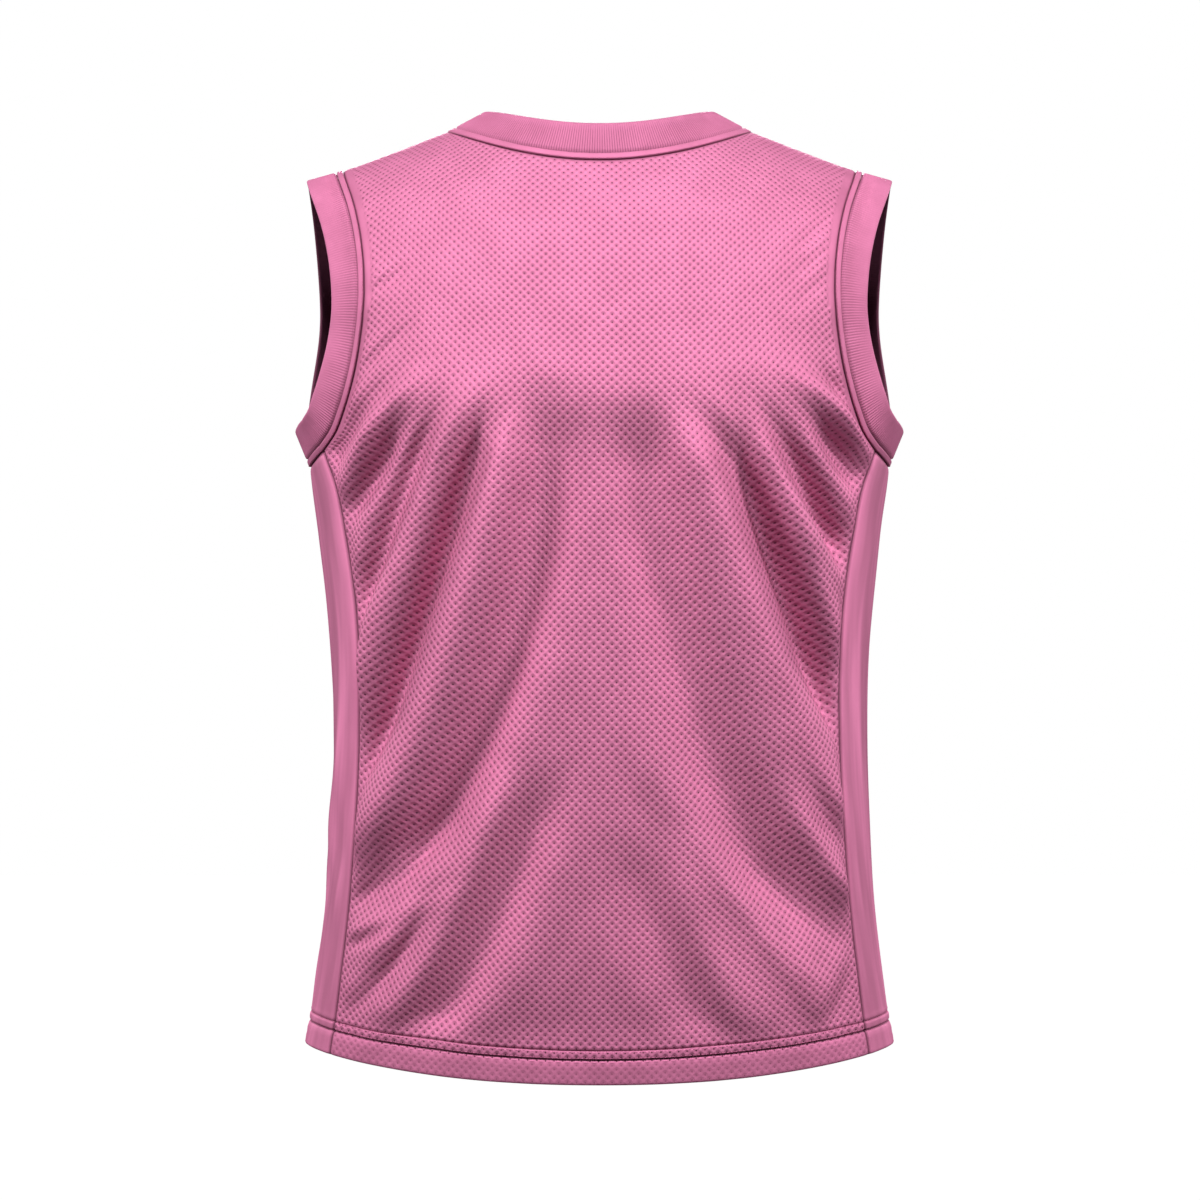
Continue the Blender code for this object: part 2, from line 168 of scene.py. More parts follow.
class Gathers(NamedTuple):
    """Small gathers along a line: how high, how far from it, how wide, and how their waves run."""

    size: float
    centre: float
    spread: float
    wave: float
    wander: float
    wander_length: float

    def rise(self, across: Array, along: Array) -> Array:
        """How far the gathers lift the cloth."""
        swell = self.size * np.exp(-(((across - self.centre) / self.spread) ** 2))
        return swell * np.sin(along / self.wave + self.wander * np.sin(along / self.wander_length))


# The back's depths follow a program's fit to the photo's brightness, rounded and smoothed
STATIONS = (
    Station(-700, 221.0, 221.0, 93, 121),
    Station(-673, 216.8, 216.8, 97, 120),
    Station(-630, 210.5, 210.5, 105, 118),
    Station(-570, 203.0, 203.0, 110, 115),
    Station(-510, 199.3, 199.3, 114, 112),
    Station(-450, 197.3, 197.3, 118, 112),
    Station(-400, 198.0, 198.0, 120, 114),
    Station(-350, 201.5, 201.5, 121, 118),
    Station(-300, 207.5, 207.5, 121, 122),
    Station(-246, 214.0, 214.0, 121, 124),
    Station(-200, 215.5, 222.0, 122, 124),
    Station(-150, 214.5, 224.0, 120, 123),
    Station(-100, 214.5, 224.0, 119, 122),
    Station(-40, 215.0, 222.0, 120, 120),
    Station(30, 215.0, 220.0, 121, 118),
)
SHOULDER_LINE = (
    Shoulder(0, 21.0),
    Shoulder(56, 15.8),
    Shoulder(112, 0.0),
    Shoulder(150, -14.6),
    Shoulder(190, -29.0),
    Shoulder(214, -35.6),
    Shoulder(226, -38.5),
)
SIDE_SEAMS = (
    SideSeam(-700, 0.905),
    SideSeam(-580, 0.905),
    SideSeam(-470, 0.892),
    SideSeam(-300, 0.892),
    SideSeam(-262, 0.908),
    SideSeam(-237, 0.943),
)
ARMHOLES = (
    Armhole(-237, 202.0, 202.0),
    Armhole(-227, 194.0, 198.0),
    Armhole(-210, 186.5, 195.5),
    Armhole(-185, 179.0, 192.5),
    Armhole(-155, 173.5, 189.5),
    Armhole(-122, 171.0, 188.0),
    Armhole(-90, 173.0, 187.8),
    Armhole(-60, 179.0, 188.3),
    Armhole(-29, 190.0, 190.0),
)
# The turned-up hem, its twin-needle ridge, and the body above it
HEM_ROWS = (
    HemRow(0.0, -0.5, 1.0),
    HemRow(0.7, 0.7, 2.4),
    HemRow(2.5, 1.1, 2.7),
    HemRow(9.0, 0.9, 2.7),
    HemRow(15.6, 0.4, 2.5),
    HemRow(17.0, -0.4, 2.2),
    HemRow(17.8, -1.5, 1.4),
    HemRow(18.6, 0.0, 2.2),
    HemRow(19.6, 0.4, 2.6),
    HemRow(21.6, 0.5, 2.6),
    HemRow(23.3, 0.3, 2.2),
    HemRow(24.2, -0.8, 1.4),
    HemRow(25.0, -0.1, 1.6),
    HemRow(28.0, 0.0, 1.6),
)
# Shade painted in the grooves beside the hem's twin-needle ridge
PAINTED_HEM_SHADES = (PaintedHemShade(17.8, 0.7, 1.0), PaintedHemShade(24.2, 0.5, 0.6))
SIDE_GATHERS = Gathers(0.28, 5.0, 4.0, 4.6, 1.7, 23.0)
HEM_GATHERS = Gathers(0.3, 19.0, 9.0, 5.3, 2.1, 31.0)
STITCH_RINGS = (
    StitchRing(0.0, -0.5, 0.35),
    StitchRing(0.12, 0.1, 0.85),
    StitchRing(0.35, 0.6, 1.0),
    StitchRing(0.65, 0.6, 1.0),
    StitchRing(0.88, 0.1, 0.85),
    StitchRing(1.0, -0.5, 0.35),
)
SOFT_BOXES = (
    SoftBox("top_box", 0.0, 50.0, 1.0, 145.0),
    SoftBox("left_box", -62.0, 24.0, 1.0, 105.0),
    SoftBox("right_box", 62.0, 24.0, 1.0, 105.0),
    SoftBox("far_top_box", 180.0, 20.0, 1.2, 140.0),
    SoftBox("far_left_box", -125.0, 20.0, 1.0, 34.0),
    SoftBox("far_right_box", 125.0, 20.0, 1.0, 34.0),
)
# A program fitted the numbers of this table to the photo's brightness, from given starting rows. Their
# steepness was limited afterwards
BACK_CREASES = (
    # The wearer's left, from the armhole down
    Crease(-158, -163, -190, -205, -200, -242, 7.5, 8.4, -4.0, 0.71),
    Crease(-148, -195, -166, -219, -184, -247, 11.5, 11.5, 6.7, 0.97),
    Crease(-154, -217, -159, -238, -180, -274, 11.5, 11.7, -8.1, 0.87),
    Crease(-135, -224, -158, -255, -178, -303, 7.5, 7.5, 2.4, 0.76),
    Crease(-121, -220, -144, -272, -171, -339, 11.5, 11.5, -9.8, 0.85),
    Crease(-115, -217, -153, -306, -179, -411, 11.5, 11.5, 8.0, 0.94),
    Crease(-90, -213, -125, -325, -169, -457, 11.5, 17.9, -9.8, 1.0),
    Crease(-61, -217, -126, -380, -176, -515, 26.0, 12.2, 10.4, 0.54),
    Crease(-59, -209, -87, -395, -153, -533, 28.0, 24.2, -11.9, 1.0),
    Crease(-50, -382, -100, -495, -149, -565, 18.3, 9.1, 2.0, 1.0),
    Crease(-167, -544, -175, -556, -190, -569, 11.5, 11.5, -5.6, 0.68),
    Crease(-58, -483, -98, -580, -146, -662, 21.1, 17.0, -7.6, 0.92),
    Crease(-32, -511, -62, -588, -102, -655, 21.1, 14.5, 2.7, 1.0),
    Crease(-155, -576, -164, -584, -184, -596, 7.9, 7.8, -4.1, 0.92),
    Crease(-133, -565, -152, -580, -170, -601, 13.2, 11.5, 6.1, 0.29),
    Crease(-133, -572, -148, -600, -175, -633, 7.6, 11.8, -3.4, 1.0),
    Crease(-116, -583, -134, -612, -173, -648, 9.4, 7.6, 0.8, 0.82),
    # The wearer's right
    Crease(170, -174, 184, -212, 209, -242, 7.5, 8.0, -4.6, 0.71),
    Crease(160, -190, 175, -205, 192, -229, 11.5, 11.5, 8.7, 0.95),
    Crease(146, -202, 168, -226, 193, -253, 12.8, 11.5, -5.3, 0.92),
    Crease(150, -211, 161, -237, 182, -271, 11.5, 11.5, 7.4, 0.77),
    Crease(121, -213, 146, -256, 183, -310, 11.5, 12.5, -7.6, 0.79),
    Crease(120, -217, 149, -274, 174, -326, 11.5, 13.5, 9.5, 1.0),
    Crease(140, -281, 157, -338, 188, -425, 11.5, 11.5, 6.5, 0.59),
    Crease(86, -217, 130, -300, 179, -420, 16.4, 15.6, -11.6, 0.88),
    Crease(90, -217, 134, -362, 200, -513, 27.1, 12.5, 9.4, 0.85),
    Crease(50, -224, 90, -416, 158, -569, 31.9, 28.9, -11.0, 0.89),
    Crease(149, -468, 160, -491, 183, -526, 8.2, 8.4, -3.1, 0.78),
    Crease(140, -490, 159, -524, 205, -583, 11.5, 11.5, 5.6, 0.74),
    Crease(55, -447, 89, -525, 149, -587, 21.6, 17.1, 2.2, 1.0),
    Crease(44, -533, 66, -606, 95, -662, 25.7, 20.3, -5.2, 1.0),
    Crease(74, -583, 101, -618, 135, -659, 10.9, 10.1, 0.7, 0.62),
    Crease(108, -562, 132, -601, 164, -648, 8.8, 10.1, 1.7, 0.76),
    Crease(143, -600, 152, -616, 159, -634, 11.5, 11.5, 7.1, 0.18),
    Crease(185, -597, 175, -622, 164, -651, 11.9, 8.6, 3.0, 0.7),
    # Small pulls beside the armholes
    Crease(-150, -106, -154, -112, -165, -121, 7.5, 7.5, -2.9, 0.71),
    Crease(170, -70, 159, -82, 149, -94, 7.5, 7.5, -2.6, 0.71),
    Crease(168, -92, 156, -103, 148, -114, 7.5, 7.5, -2.4, 0.69),
    Crease(168, -112, 158, -122, 149, -133, 7.5, 7.5, -1.3, 0.71),
    Crease(-166, -62, -158, -68, -150, -76, 7.5, 7.5, -0.5, 0.71),
)
# The front isn't seen in the photo: these folds are guessed
FRONT_CREASES = (
    Crease(-160, -180, -176, -212, -194, -244, 8, 8, -5.3, 0.7),
    Crease(-150, -202, -168, -232, -188, -262, 8, 8, 5.6, 0.7),
    Crease(-142, -214, -162, -256, -184, -300, 9, 9, -7.0, 0.7),
    Crease(-128, -218, -152, -266, -180, -330, 10, 9, 7.0, 0.7),
    Crease(-112, -226, -142, -306, -176, -386, 11, 11, -9.5, 0.7),
    Crease(-90, -232, -124, -350, -172, -462, 13, 12, 9.9, 0.7),
    Crease(-62, -250, -98, -402, -168, -532, 17, 14, -12.0, 0.7),
    Crease(-38, -330, -78, -476, -156, -582, 16, 14, 9.5, 0.7),
    Crease(-28, -446, -60, -566, -136, -656, 16, 13, -8.1, 0.7),
    Crease(-128, -560, -148, -592, -180, -640, 8, 8, -4.9, 0.7),
    Crease(-112, -570, -136, -606, -168, -650, 8, 8, 4.5, 0.7),
    Crease(162, -176, 178, -210, 196, -244, 8, 8, -5.3, 0.7),
    Crease(148, -200, 166, -236, 188, -272, 8, 8, 5.6, 0.7),
    Crease(138, -212, 158, -262, 184, -316, 9, 9, -7.4, 0.7),
    Crease(120, -220, 150, -286, 182, -356, 10, 10, 7.4, 0.7),
    Crease(104, -226, 140, -320, 178, -410, 12, 11, -9.9, 0.7),
    Crease(80, -240, 122, -372, 176, -496, 13, 13, 10.1, 0.7),
    Crease(52, -264, 94, -420, 172, -552, 18, 15, -12.3, 0.7),
    Crease(30, -384, 72, -510, 150, -606, 16, 14, 9.1, 0.7),
    Crease(20, -480, 50, -590, 110, -660, 16, 13, -7.0, 0.7),
    Crease(132, -486, 154, -522, 188, -566, 8, 8, -4.9, 0.7),
    Crease(120, -566, 140, -602, 168, -646, 9, 8, 4.9, 0.7),
    Crease(-150, -96, -160, -106, -172, -118, 5, 5, -2.3, 0.7),
    Crease(150, -88, 160, -99, 172, -112, 5, 5, -2.3, 0.7),
    Crease(-60, -96, -84, -110, -112, -118, 10, 10, -2.6, 0.7),
    Crease(60, -96, 84, -110, 112, -118, 10, 10, -2.6, 0.7),
)
# From the same fit as the back's folds
BACK_SWELLS = (
    Swell(-120, -60, 0.7),
    Swell(120, -60, 0.9),
    Swell(-40, -130, -1.0),
    Swell(40, -130, -0.8),
    Swell(-120, -200, 1.4),
    Swell(40, -200, -0.8),
    Swell(120, -200, 1.3),
    Swell(40, -270, 1.0),
    Swell(-120, -500, -1.1),
    Swell(-40, -500, 0.8),
    Swell(120, -580, -2.2),
    Swell(-120, -650, -1.0),
    Swell(-40, -650, -1.3),
    Swell(40, -650, -1.0),
)
# Guessed, as the front's folds
FRONT_SWELLS = (
    Swell(-90, -130, 2.0),
    Swell(92, -134, 2.2),
    Swell(0, -300, -1.2),
    Swell(-60, -430, 1.4),
    Swell(74, -470, 1.2),
    Swell(-20, -600, 1.1),
)


def curve(rows: Sequence[NamedTuple], column: str, at: Array) -> Array:
    """Reads the smooth curve through a table's rows.

    Args:
        rows: The table, sorted by its first column.
        column: Name of the column to read.
        at: Values of the first column.

    Returns:
        The column's values there.
    """
    xs = np.array([row[0] for row in rows], float)
    ys = np.array([getattr(row, column) for row in rows], float)
    slopes = np.gradient(ys, xs)
    at = np.asarray(at, float)
    i = np.clip(np.searchsorted(xs, at) - 1, 0, len(xs) - 2)
    span = xs[i + 1] - xs[i]
    t = np.clip((at - xs[i]) / span, 0.0, 1.0)
    rise = ys[i + 1] - ys[i]
    start, end = span * slopes[i], span * slopes[i + 1]
    return ys[i] + t * (start + t * (3 * rise - 2 * start - end + t * (start + end - 2 * rise)))


def smooth_step(value: Array) -> Array:
    """0 below 0, 1 above 1, and smooth between."""
    t = np.clip(value, 0.0, 1.0)
    return t * t * (3 - 2 * t)


def unit(vectors: Array) -> Array:
    """The vectors at length 1."""
    return vectors / np.maximum(np.linalg.norm(vectors, axis=-1, keepdims=True), SHORTEST)


def along_lengths(points: Array, axis: int) -> Array:
    """Distance walked along one axis of a grid of points, from its first row or column."""
    steps = np.linalg.norm(np.diff(points, axis=axis), axis=-1)
    total = np.cumsum(steps, axis=axis)
    pad = [(0, 0)] * total.ndim
    pad[axis] = (1, 0)
    return np.pad(total, pad)


@dataclass(frozen=True)
class BodyForm:
    """The form without folds: an upright tube of rounded sections that closes over the shoulders."""

    section_power: float = 2.3
    yoke_power: float = 1.8
    yoke_drop_power: float = 1.6
    yoke_drop_centre: float = 240.0
    yoke_drop_shoulder: float = 100.0
    neck_half_width: float = 112.0
    shoulder_seam_end: float = 190.0
    back_neck_drop: float = 25.5
    front_neck_drop: float = 88.0
    front_neck_power: float = 0.9
    underarm_z: float = -237.0
    hem_side_z: float = -673.0
    back_hem_dip: float = 22.8
    front_hem_dip: float = 17.0
    hem_half_width: float = 218.0
    hem_power: float = 2.2
    slope_step: float = 0.05

    def shoulder_z(self, x: Array) -> Array:
        """Height of the shoulder line."""
        return curve(SHOULDER_LINE, "z", np.abs(x))

    def width(self, z: Array, half: Half) -> Array:
        """Half width of the form."""
        return curve(STATIONS, half.name.lower() + "_width", z)

    def y(self, x: Array, z: Array, half: Half) -> Array:
        """Y of the form's back or front, as seen from the front."""
        width = self.width(z, half)
        depth = curve(STATIONS, half.name.lower() + "_depth", z)
        power = self.section_power
        across = np.maximum(0.0, 1.0 - np.minimum(1.0, np.abs(x) / width) ** power) ** (1 / power)
        near = np.minimum(1.0, np.abs(x) / self.shoulder_seam_end) ** self.yoke_drop_power
        drop = self.yoke_drop_centre + (self.yoke_drop_shoulder - self.yoke_drop_centre) * near
        below = np.clip((self.shoulder_z(x) - z) / drop, 0.0, 1.0)
        yoke = (1.0 - (1.0 - below) ** self.yoke_power) ** (1 / self.yoke_power)
        return half.value * depth * across * yoke

    def point(self, x: Array, z: Array, half: Half) -> Array:
        """Points of the form."""
        return np.stack([x, self.y(x, z, half), z], axis=-1)

    def normal(self, x: Array, z: Array, half: Half) -> Array:
        """The form's outward directions. On the shoulder line they have no Y."""
        step = self.slope_step
        dx = self.y(x + step, z, half) - self.y(x - step, z, half)
        dz = self.y(x, z + step, half) - self.y(x, z - step, half)
        free = half.value * np.stack([-dx, np.full_like(dx, 2 * step), -dz], axis=-1)
        slope = (self.shoulder_z(x + step) - self.shoulder_z(x - step)) / (2 * step)
        ridge = np.stack([-slope, np.zeros_like(slope), np.ones_like(slope)], axis=-1)
        on_ridge = (self.shoulder_z(x) - z < step)[..., None]
        return np.where(on_ridge, unit(ridge), unit(free))

    def side(self, angle: Array, z: Array, side: Side) -> tuple[Array, Array]:
        """Points of the form's side and their outward directions.

        Args:
            angle: From the side (0) to the back (below 0) or front, in radians.
            z: Heights.
            side: Which side.

        Returns:
            Points and unit normals.
        """
        back = angle < 0
        width = np.where(back, self.width(z, Half.BACK), self.width(z, Half.FRONT))
        depth = np.where(back, curve(STATIONS, "back_depth", z), curve(STATIONS, "front_depth", z))
        power = self.section_power
        x = width * np.cos(angle) ** (2 / power)
        y = np.copysign(depth * np.abs(np.sin(angle)) ** (2 / power), angle)
        normal = np.stack(
            [
                side.value * (x / width) ** (power - 1) / width,
                np.copysign((np.abs(y) / depth) ** (power - 1) / depth, y),
                np.zeros_like(x),
            ],
            axis=-1,
        )
        return np.stack([side.value * x, y, z], axis=-1), unit(normal)

    def panel_half_width(self, z: Array, half: Half) -> Array:
        """Half width of a panel at its edge: the side seam below the underarm, the armhole above."""
        armhole = curve(ARMHOLES, half.name.lower(), z)
        seam = curve(SIDE_SEAMS, "share", z) * self.width(z, half)
        return np.where(z >= self.underarm_z, armhole, seam)

    def hem_z(self, x: Array, half: Half) -> Array:
        """Height of the hem's edge."""
        dip = self.back_hem_dip if half is Half.BACK else self.front_hem_dip
        return self.hem_side_z - dip * (1 - (np.abs(x) / self.hem_half_width) ** self.hem_power)

    def top_z(self, x: Array, half: Half) -> Array:
        """Height of a panel's top edge: the shoulder seams, and the neck seam between them."""
        share = np.minimum(np.abs(x) / self.neck_half_width, 1.0)
        if half is Half.BACK:
            neck = -self.back_neck_drop * (1 - share**2)
        else:
            neck = -self.front_neck_drop * (1 - share**2) ** self.front_neck_power
        return np.where(np.abs(x) >= self.neck_half_width, self.shoulder_z(x), neck)

    def hem_edge(self) -> float:
        """Height of the hem's edge at the side seams."""
        return float(self.hem_z(self.panel_half_width(self.hem_side_z, Half.BACK), Half.BACK))


@dataclass(frozen=True)
class Ripple:
    """Fine unevenness of hanging cloth: waves of several sizes that run down and out, as folds do."""

    seed: int
    size: float = 0.16
    waves: int = 14
    shortest: float = 24.0
    longest: float = 95.0
    least_tilt: float = 0.15
    most_tilt: float = 0.75
    drift: float = 0.3
    drift_length: float = 60.0

    def rise(self, x: Array, z: Array) -> Array:
        """How far the cloth stands out, seen from the front."""
        rng = np.random.default_rng(self.seed)
        total = np.zeros_like(x)
        for _ in range(self.waves):
            length = self.shortest * (self.longest / self.shortest) ** rng.random()
            tilt = rng.uniform(self.least_tilt, self.most_tilt)
            phase = rng.uniform(0, 2 * math.pi)
            across = np.abs(x) * math.cos(tilt) + z * math.sin(tilt)
            drift = self.drift * np.sin(z / self.drift_length + phase) + self.drift * np.sign(x)
            total += np.sin(2 * math.pi * across / length + phase + drift) * length / self.longest
        return self.size * total


@dataclass(frozen=True)
class FoldField:
    """The folds of one panel."""

    creases: Sequence[Crease]
    ripple: Ripple
    ripple_top: float = -150.0
    ripple_fade: float = 90.0
    end: float = 30.0
    end_share: float = 0.45
    end_least: float = 4.0
    blade_rise: float = 0.0
    blade_z: float = -200.0
    blade_height: float = 32.0
    blade_dip: float = 0.95
    blade_gap: float = 78.0
    skew_scale: float = 2.33
    swells: Sequence[Swell] = ()
    swell_width: float = 55.0
    swell_height: float = 48.0

    def rise(self, x: Array, z: Array) -> Array:
        """How far the folds lift the cloth.

        Args:
            x: Places across the panel.
            z: Heights.

        Returns:
            The lift at each place.
        """
        total = self.ripple.rise(x, z) * smooth_step((self.ripple_top - z) / self.ripple_fade)
        middle = 1 - self.blade_dip * np.exp(-((x / self.blade_gap) ** 2))
        total += self.blade_rise * middle * np.exp(-(((z - self.blade_z) / self.blade_height) ** 2))
        for fold in self.creases:
            total += self._one(fold, x, z)
        for swell in self.swells:
            across, up = (x - swell.x) / self.swell_width, (z - swell.z) / self.swell_height
            total += swell.lift * np.exp(-(across**2) - up**2)
        return total

    def _one(self, fold: Crease, x: Array, z: Array) -> Array:
        """The lift of one fold."""
        top, mid, low = fold.z_top, fold.z_mid, fold.z_low
        end = min(self.end, self.end_share * (top - low) + self.end_least)
        a = fold.x_top * (z - mid) * (z - low) / ((top - mid) * (top - low))
        b = fold.x_mid * (z - top) * (z - low) / ((mid - top) * (mid - low))
        c = fold.x_low * (z - top) * (z - mid) / ((low - top) * (low - mid))
        lean = (fold.x_low - fold.x_top) / (low - top)
        off = (x - a - b - c) / math.hypot(1.0, lean)
        outward = off * (1 if fold.x_low > 0 else -1)
        reach = np.where(outward > 0, fold.outer, fold.inner)
        taper = smooth_step((top + end - z) / (2 * end)) * smooth_step((z - low + end) / (2 * end))
        inward = -outward / reach
        profile = (1 - fold.skew + fold.skew * self.skew_scale * inward) * np.exp(-(inward**2))
        return fold.lift * taper * profile


def node_group(name: str, inputs: Sequence[tuple], outputs: Sequence[tuple]) -> bpy.types.NodeTree:
    """Starts a shader node group.

    Args:
        name: The group's name.
        inputs: Name, socket type and default of each input.
        outputs: Name and socket type of each output.

    Returns:
        The group, with its input and output nodes.
    """
    tree = bpy.data.node_groups.new(name, "ShaderNodeTree")
    for label, kind, default in inputs:
        socket = tree.interface.new_socket(label, in_out="INPUT", socket_type=kind)
        if default is not None:
            socket.default_value = default
    for label, kind in outputs:
        tree.interface.new_socket(label, in_out="OUTPUT", socket_type=kind)
    tree.nodes.new("NodeGroupInput")
    tree.nodes.new("NodeGroupOutput")
    return tree


@dataclass
class Wiring:
    """Short ways to add nodes to a tree."""

    tree: bpy.types.NodeTree

    def node(self, kind: str, **settings: object) -> bpy.types.Node:
        """Adds a node and sets its attributes."""
        made = self.tree.nodes.new(kind)
        for key, value in settings.items():
            setattr(made, key, value)
        return made

    def join(self, source: object, target: bpy.types.NodeSocket) -> None:
        """Links a socket, or sets a value."""
        if isinstance(source, bpy.types.NodeSocket):
            self.tree.links.new(source, target)
        else:
            target.default_value = source

    def math(self, operation: str, *values: object, clamp: bool = False) -> bpy.types.NodeSocket:
        """Adds a Math node.

        Args:
            operation: The node's operation.
            *values: Sockets or numbers.
            clamp: Whether the result stays from 0 to 1.

        Returns:
            The result.
        """
        made = self.node("ShaderNodeMath", operation=operation, use_clamp=clamp)
        for value, socket in zip(values, made.inputs):
            self.join(value, socket)
        return made.outputs[0]

    def mix(self, share: object, first: object, second: object) -> bpy.types.NodeSocket:
        """Mixes two colours."""
        made = self.node("ShaderNodeMix", data_type="RGBA")
        for value, name in ((share, "Factor"), (first, "A"), (second, "B")):
            sockets = [s for s in made.inputs if s.name == name and s.enabled]
            self.join(value, sockets[0])
        return next(s for s in made.outputs if s.enabled)

    def noise(
        self, vector: object, scale: float, detail: float, roughness: float
    ) -> bpy.types.NodeSocket:
        """Adds a Noise node and returns its value."""
        made = self.node("ShaderNodeTexNoise")
        self.join(vector, made.inputs["Vector"])
        made.inputs["Scale"].default_value = scale
        made.inputs["Detail"].default_value = detail
        made.inputs["Roughness"].default_value = roughness
        return made.outputs["Fac"]

    def stretch(
        self, value: object, low: float, high: float, to_low: float, to_high: float
    ) -> bpy.types.NodeSocket:
        """Maps a range of values smoothly to another."""
        made = self.node("ShaderNodeMapRange", interpolation_type="SMOOTHSTEP")
        names = ("Value", "From Min", "From Max", "To Min", "To Max")
        for item, name in zip((value, low, high, to_low, to_high), names):
            self.join(item, made.inputs[name])
        return made.outputs["Result"]


def pinhole_group() -> bpy.types.NodeTree:
    """The staggered holes of the perforated knit: masks of holes and ridges, and the cloth's height.

    Returns:
        The node group.
    """
    tree = node_group(
        "staggered_pinholes",
        [
            ("Vector", "NodeSocketVector", None),
            ("Column Pitch", "NodeSocketFloat", 0.0064),
            ("Row Pitch", "NodeSocketFloat", 0.0061),
            ("Hole Radius", "NodeSocketFloat", 0.0006),
        ],
        [("Hole", "NodeSocketFloat"), ("Height", "NodeSocketFloat"), ("Ridge", "NodeSocketFloat")],
    )
    w = Wiring(tree)
    source, out = tree.nodes["Group Input"], tree.nodes["Group Output"]
    jitter = w.node("ShaderNodeTexNoise")
    w.join(source.outputs["Vector"], jitter.inputs["Vector"])
    jitter.inputs["Scale"].default_value = 90.0
    jitter.inputs["Detail"].default_value = 1.0
    moved = w.node("ShaderNodeVectorMath", operation="MULTIPLY_ADD")
    w.join(jitter.outputs["Color"], moved.inputs[0])
    moved.inputs[1].default_value = (0.0011, 0.0011, 0.0)
    w.join(source.outputs["Vector"], moved.inputs[2])
    split = w.node("ShaderNodeSeparateXYZ")
    w.join(moved.outputs[0], split.inputs[0])
    across = w.math("DIVIDE", split.outputs["X"], source.outputs["Column Pitch"])
    up = w.math("DIVIDE", split.outputs["Y"], source.outputs["Row Pitch"])
    distances = []
    for shift in (0.0, 0.5):
        parts = []
        for value, pitch in ((across, "Column Pitch"), (up, "Row Pitch")):
            cell = w.math("SUBTRACT", w.math("FRACT", w.math("ADD", value, shift)), 0.5)
            offset = w.math("ABSOLUTE", w.math("MULTIPLY", cell, source.outputs[pitch]))
            parts.append(w.math("POWER", offset, 2.0))
        distances.append(w.math("SQRT", w.math("ADD", *parts)))
    nearest = w.math("MINIMUM", *distances)
    share = w.math("DIVIDE", nearest, source.outputs["Hole Radius"])
    w.join(w.stretch(share, 0.8, 1.3, 1.0, 0.0), out.inputs["Hole"])
    w.join(w.stretch(share, 0.4, 4.2, 0.0, 1.0), out.inputs["Height"])
    w.join(w.stretch(share, 2.6, 3.8, 0.0, 1.0), out.inputs["Ridge"])
    return tree


def knit_group() -> bpy.types.NodeTree:
    """Fine knit texture and the slight unevenness of dyed cloth.

    Returns:
        The node group.
    """
    tree = node_group(
        "fine_knit",
        [
            ("Vector", "NodeSocketVector", None),
            ("Wale", "NodeSocketFloat", 0.0009),
            ("Course", "NodeSocketFloat", 0.0007),
            ("Streak", "NodeSocketFloat", 1.0),
        ],
        [("Height", "NodeSocketFloat"), ("Tone", "NodeSocketFloat")],
    )
    w = Wiring(tree)
    source, out = tree.nodes["Group Input"], tree.nodes["Group Output"]
    split = w.node("ShaderNodeSeparateXYZ")
    w.join(source.outputs["Vector"], split.inputs[0])
    waves = []
    for axis, pitch in (("X", "Wale"), ("Y", "Course")):
        count = w.math("DIVIDE", split.outputs[axis], source.outputs[pitch])
        waves.append(w.math("SINE", w.math("MULTIPLY", count, 2 * math.pi)))
    grain = w.math("MULTIPLY", waves[0], waves[1])
    fuzz = w.noise(source.outputs["Vector"], 1400.0, 2.0, 0.6)
    height = w.math("ADD", w.math("MULTIPLY", grain, 0.35), fuzz)
    w.join(height, out.inputs["Height"])
    drawn = w.node("ShaderNodeCombineXYZ")
    slant = w.math("MULTIPLY", split.outputs["Y"], 0.04)
    w.join(w.math("ADD", split.outputs["X"], slant), drawn.inputs["X"])
    w.join(w.math("MULTIPLY", split.outputs["Y"], source.outputs["Streak"]), drawn.inputs["Y"])
    slow = w.noise(drawn.outputs["Vector"], 30.0, 3.0, 0.55)
    w.join(w.stretch(slow, 0.3, 0.7, 0.0, 1.0), out.inputs["Tone"])
    return tree


def rib_group() -> bpy.types.NodeTree:
    """Shade painted in the grooves between the ribs, which close up away from the seam.

    Returns:
        The node group.
    """
    tree = node_group(
        "rib_groove_painted_shade",
        [
            ("Vector", "NodeSocketVector", None),
            ("Pitch", "NodeSocketFloat", 0.00195),
            ("Clear To", "NodeSocketFloat", 0.02),
            ("Gone At", "NodeSocketFloat", 0.03),
            ("Left", "NodeSocketFloat", 0.1),
        ],
        [("Groove", "NodeSocketFloat")],
    )
    w = Wiring(tree)
    source, out = tree.nodes["Group Input"], tree.nodes["Group Output"]
    split = w.node("ShaderNodeSeparateXYZ")
    w.join(source.outputs["Vector"], split.inputs[0])
    turns = w.math("MULTIPLY", w.math("DIVIDE", split.outputs["X"], source.outputs["Pitch"]), math.pi)
    groove = w.stretch(w.math("ABSOLUTE", w.math("COSINE", turns)), 0.0, 0.75, 1.0, 0.0)
    reach = w.math("SUBTRACT", source.outputs["Gone At"], source.outputs["Clear To"])
    beyond = w.math("SUBTRACT", split.outputs["Y"], source.outputs["Clear To"])
    past = w.math("DIVIDE", beyond, reach, clamp=True)
    lost = w.math("MULTIPLY", past, w.math("SUBTRACT", 1.0, source.outputs["Left"]))
    w.join(w.math("MULTIPLY", groove, w.math("SUBTRACT", 1.0, lost)), out.inputs["Groove"])
    return tree


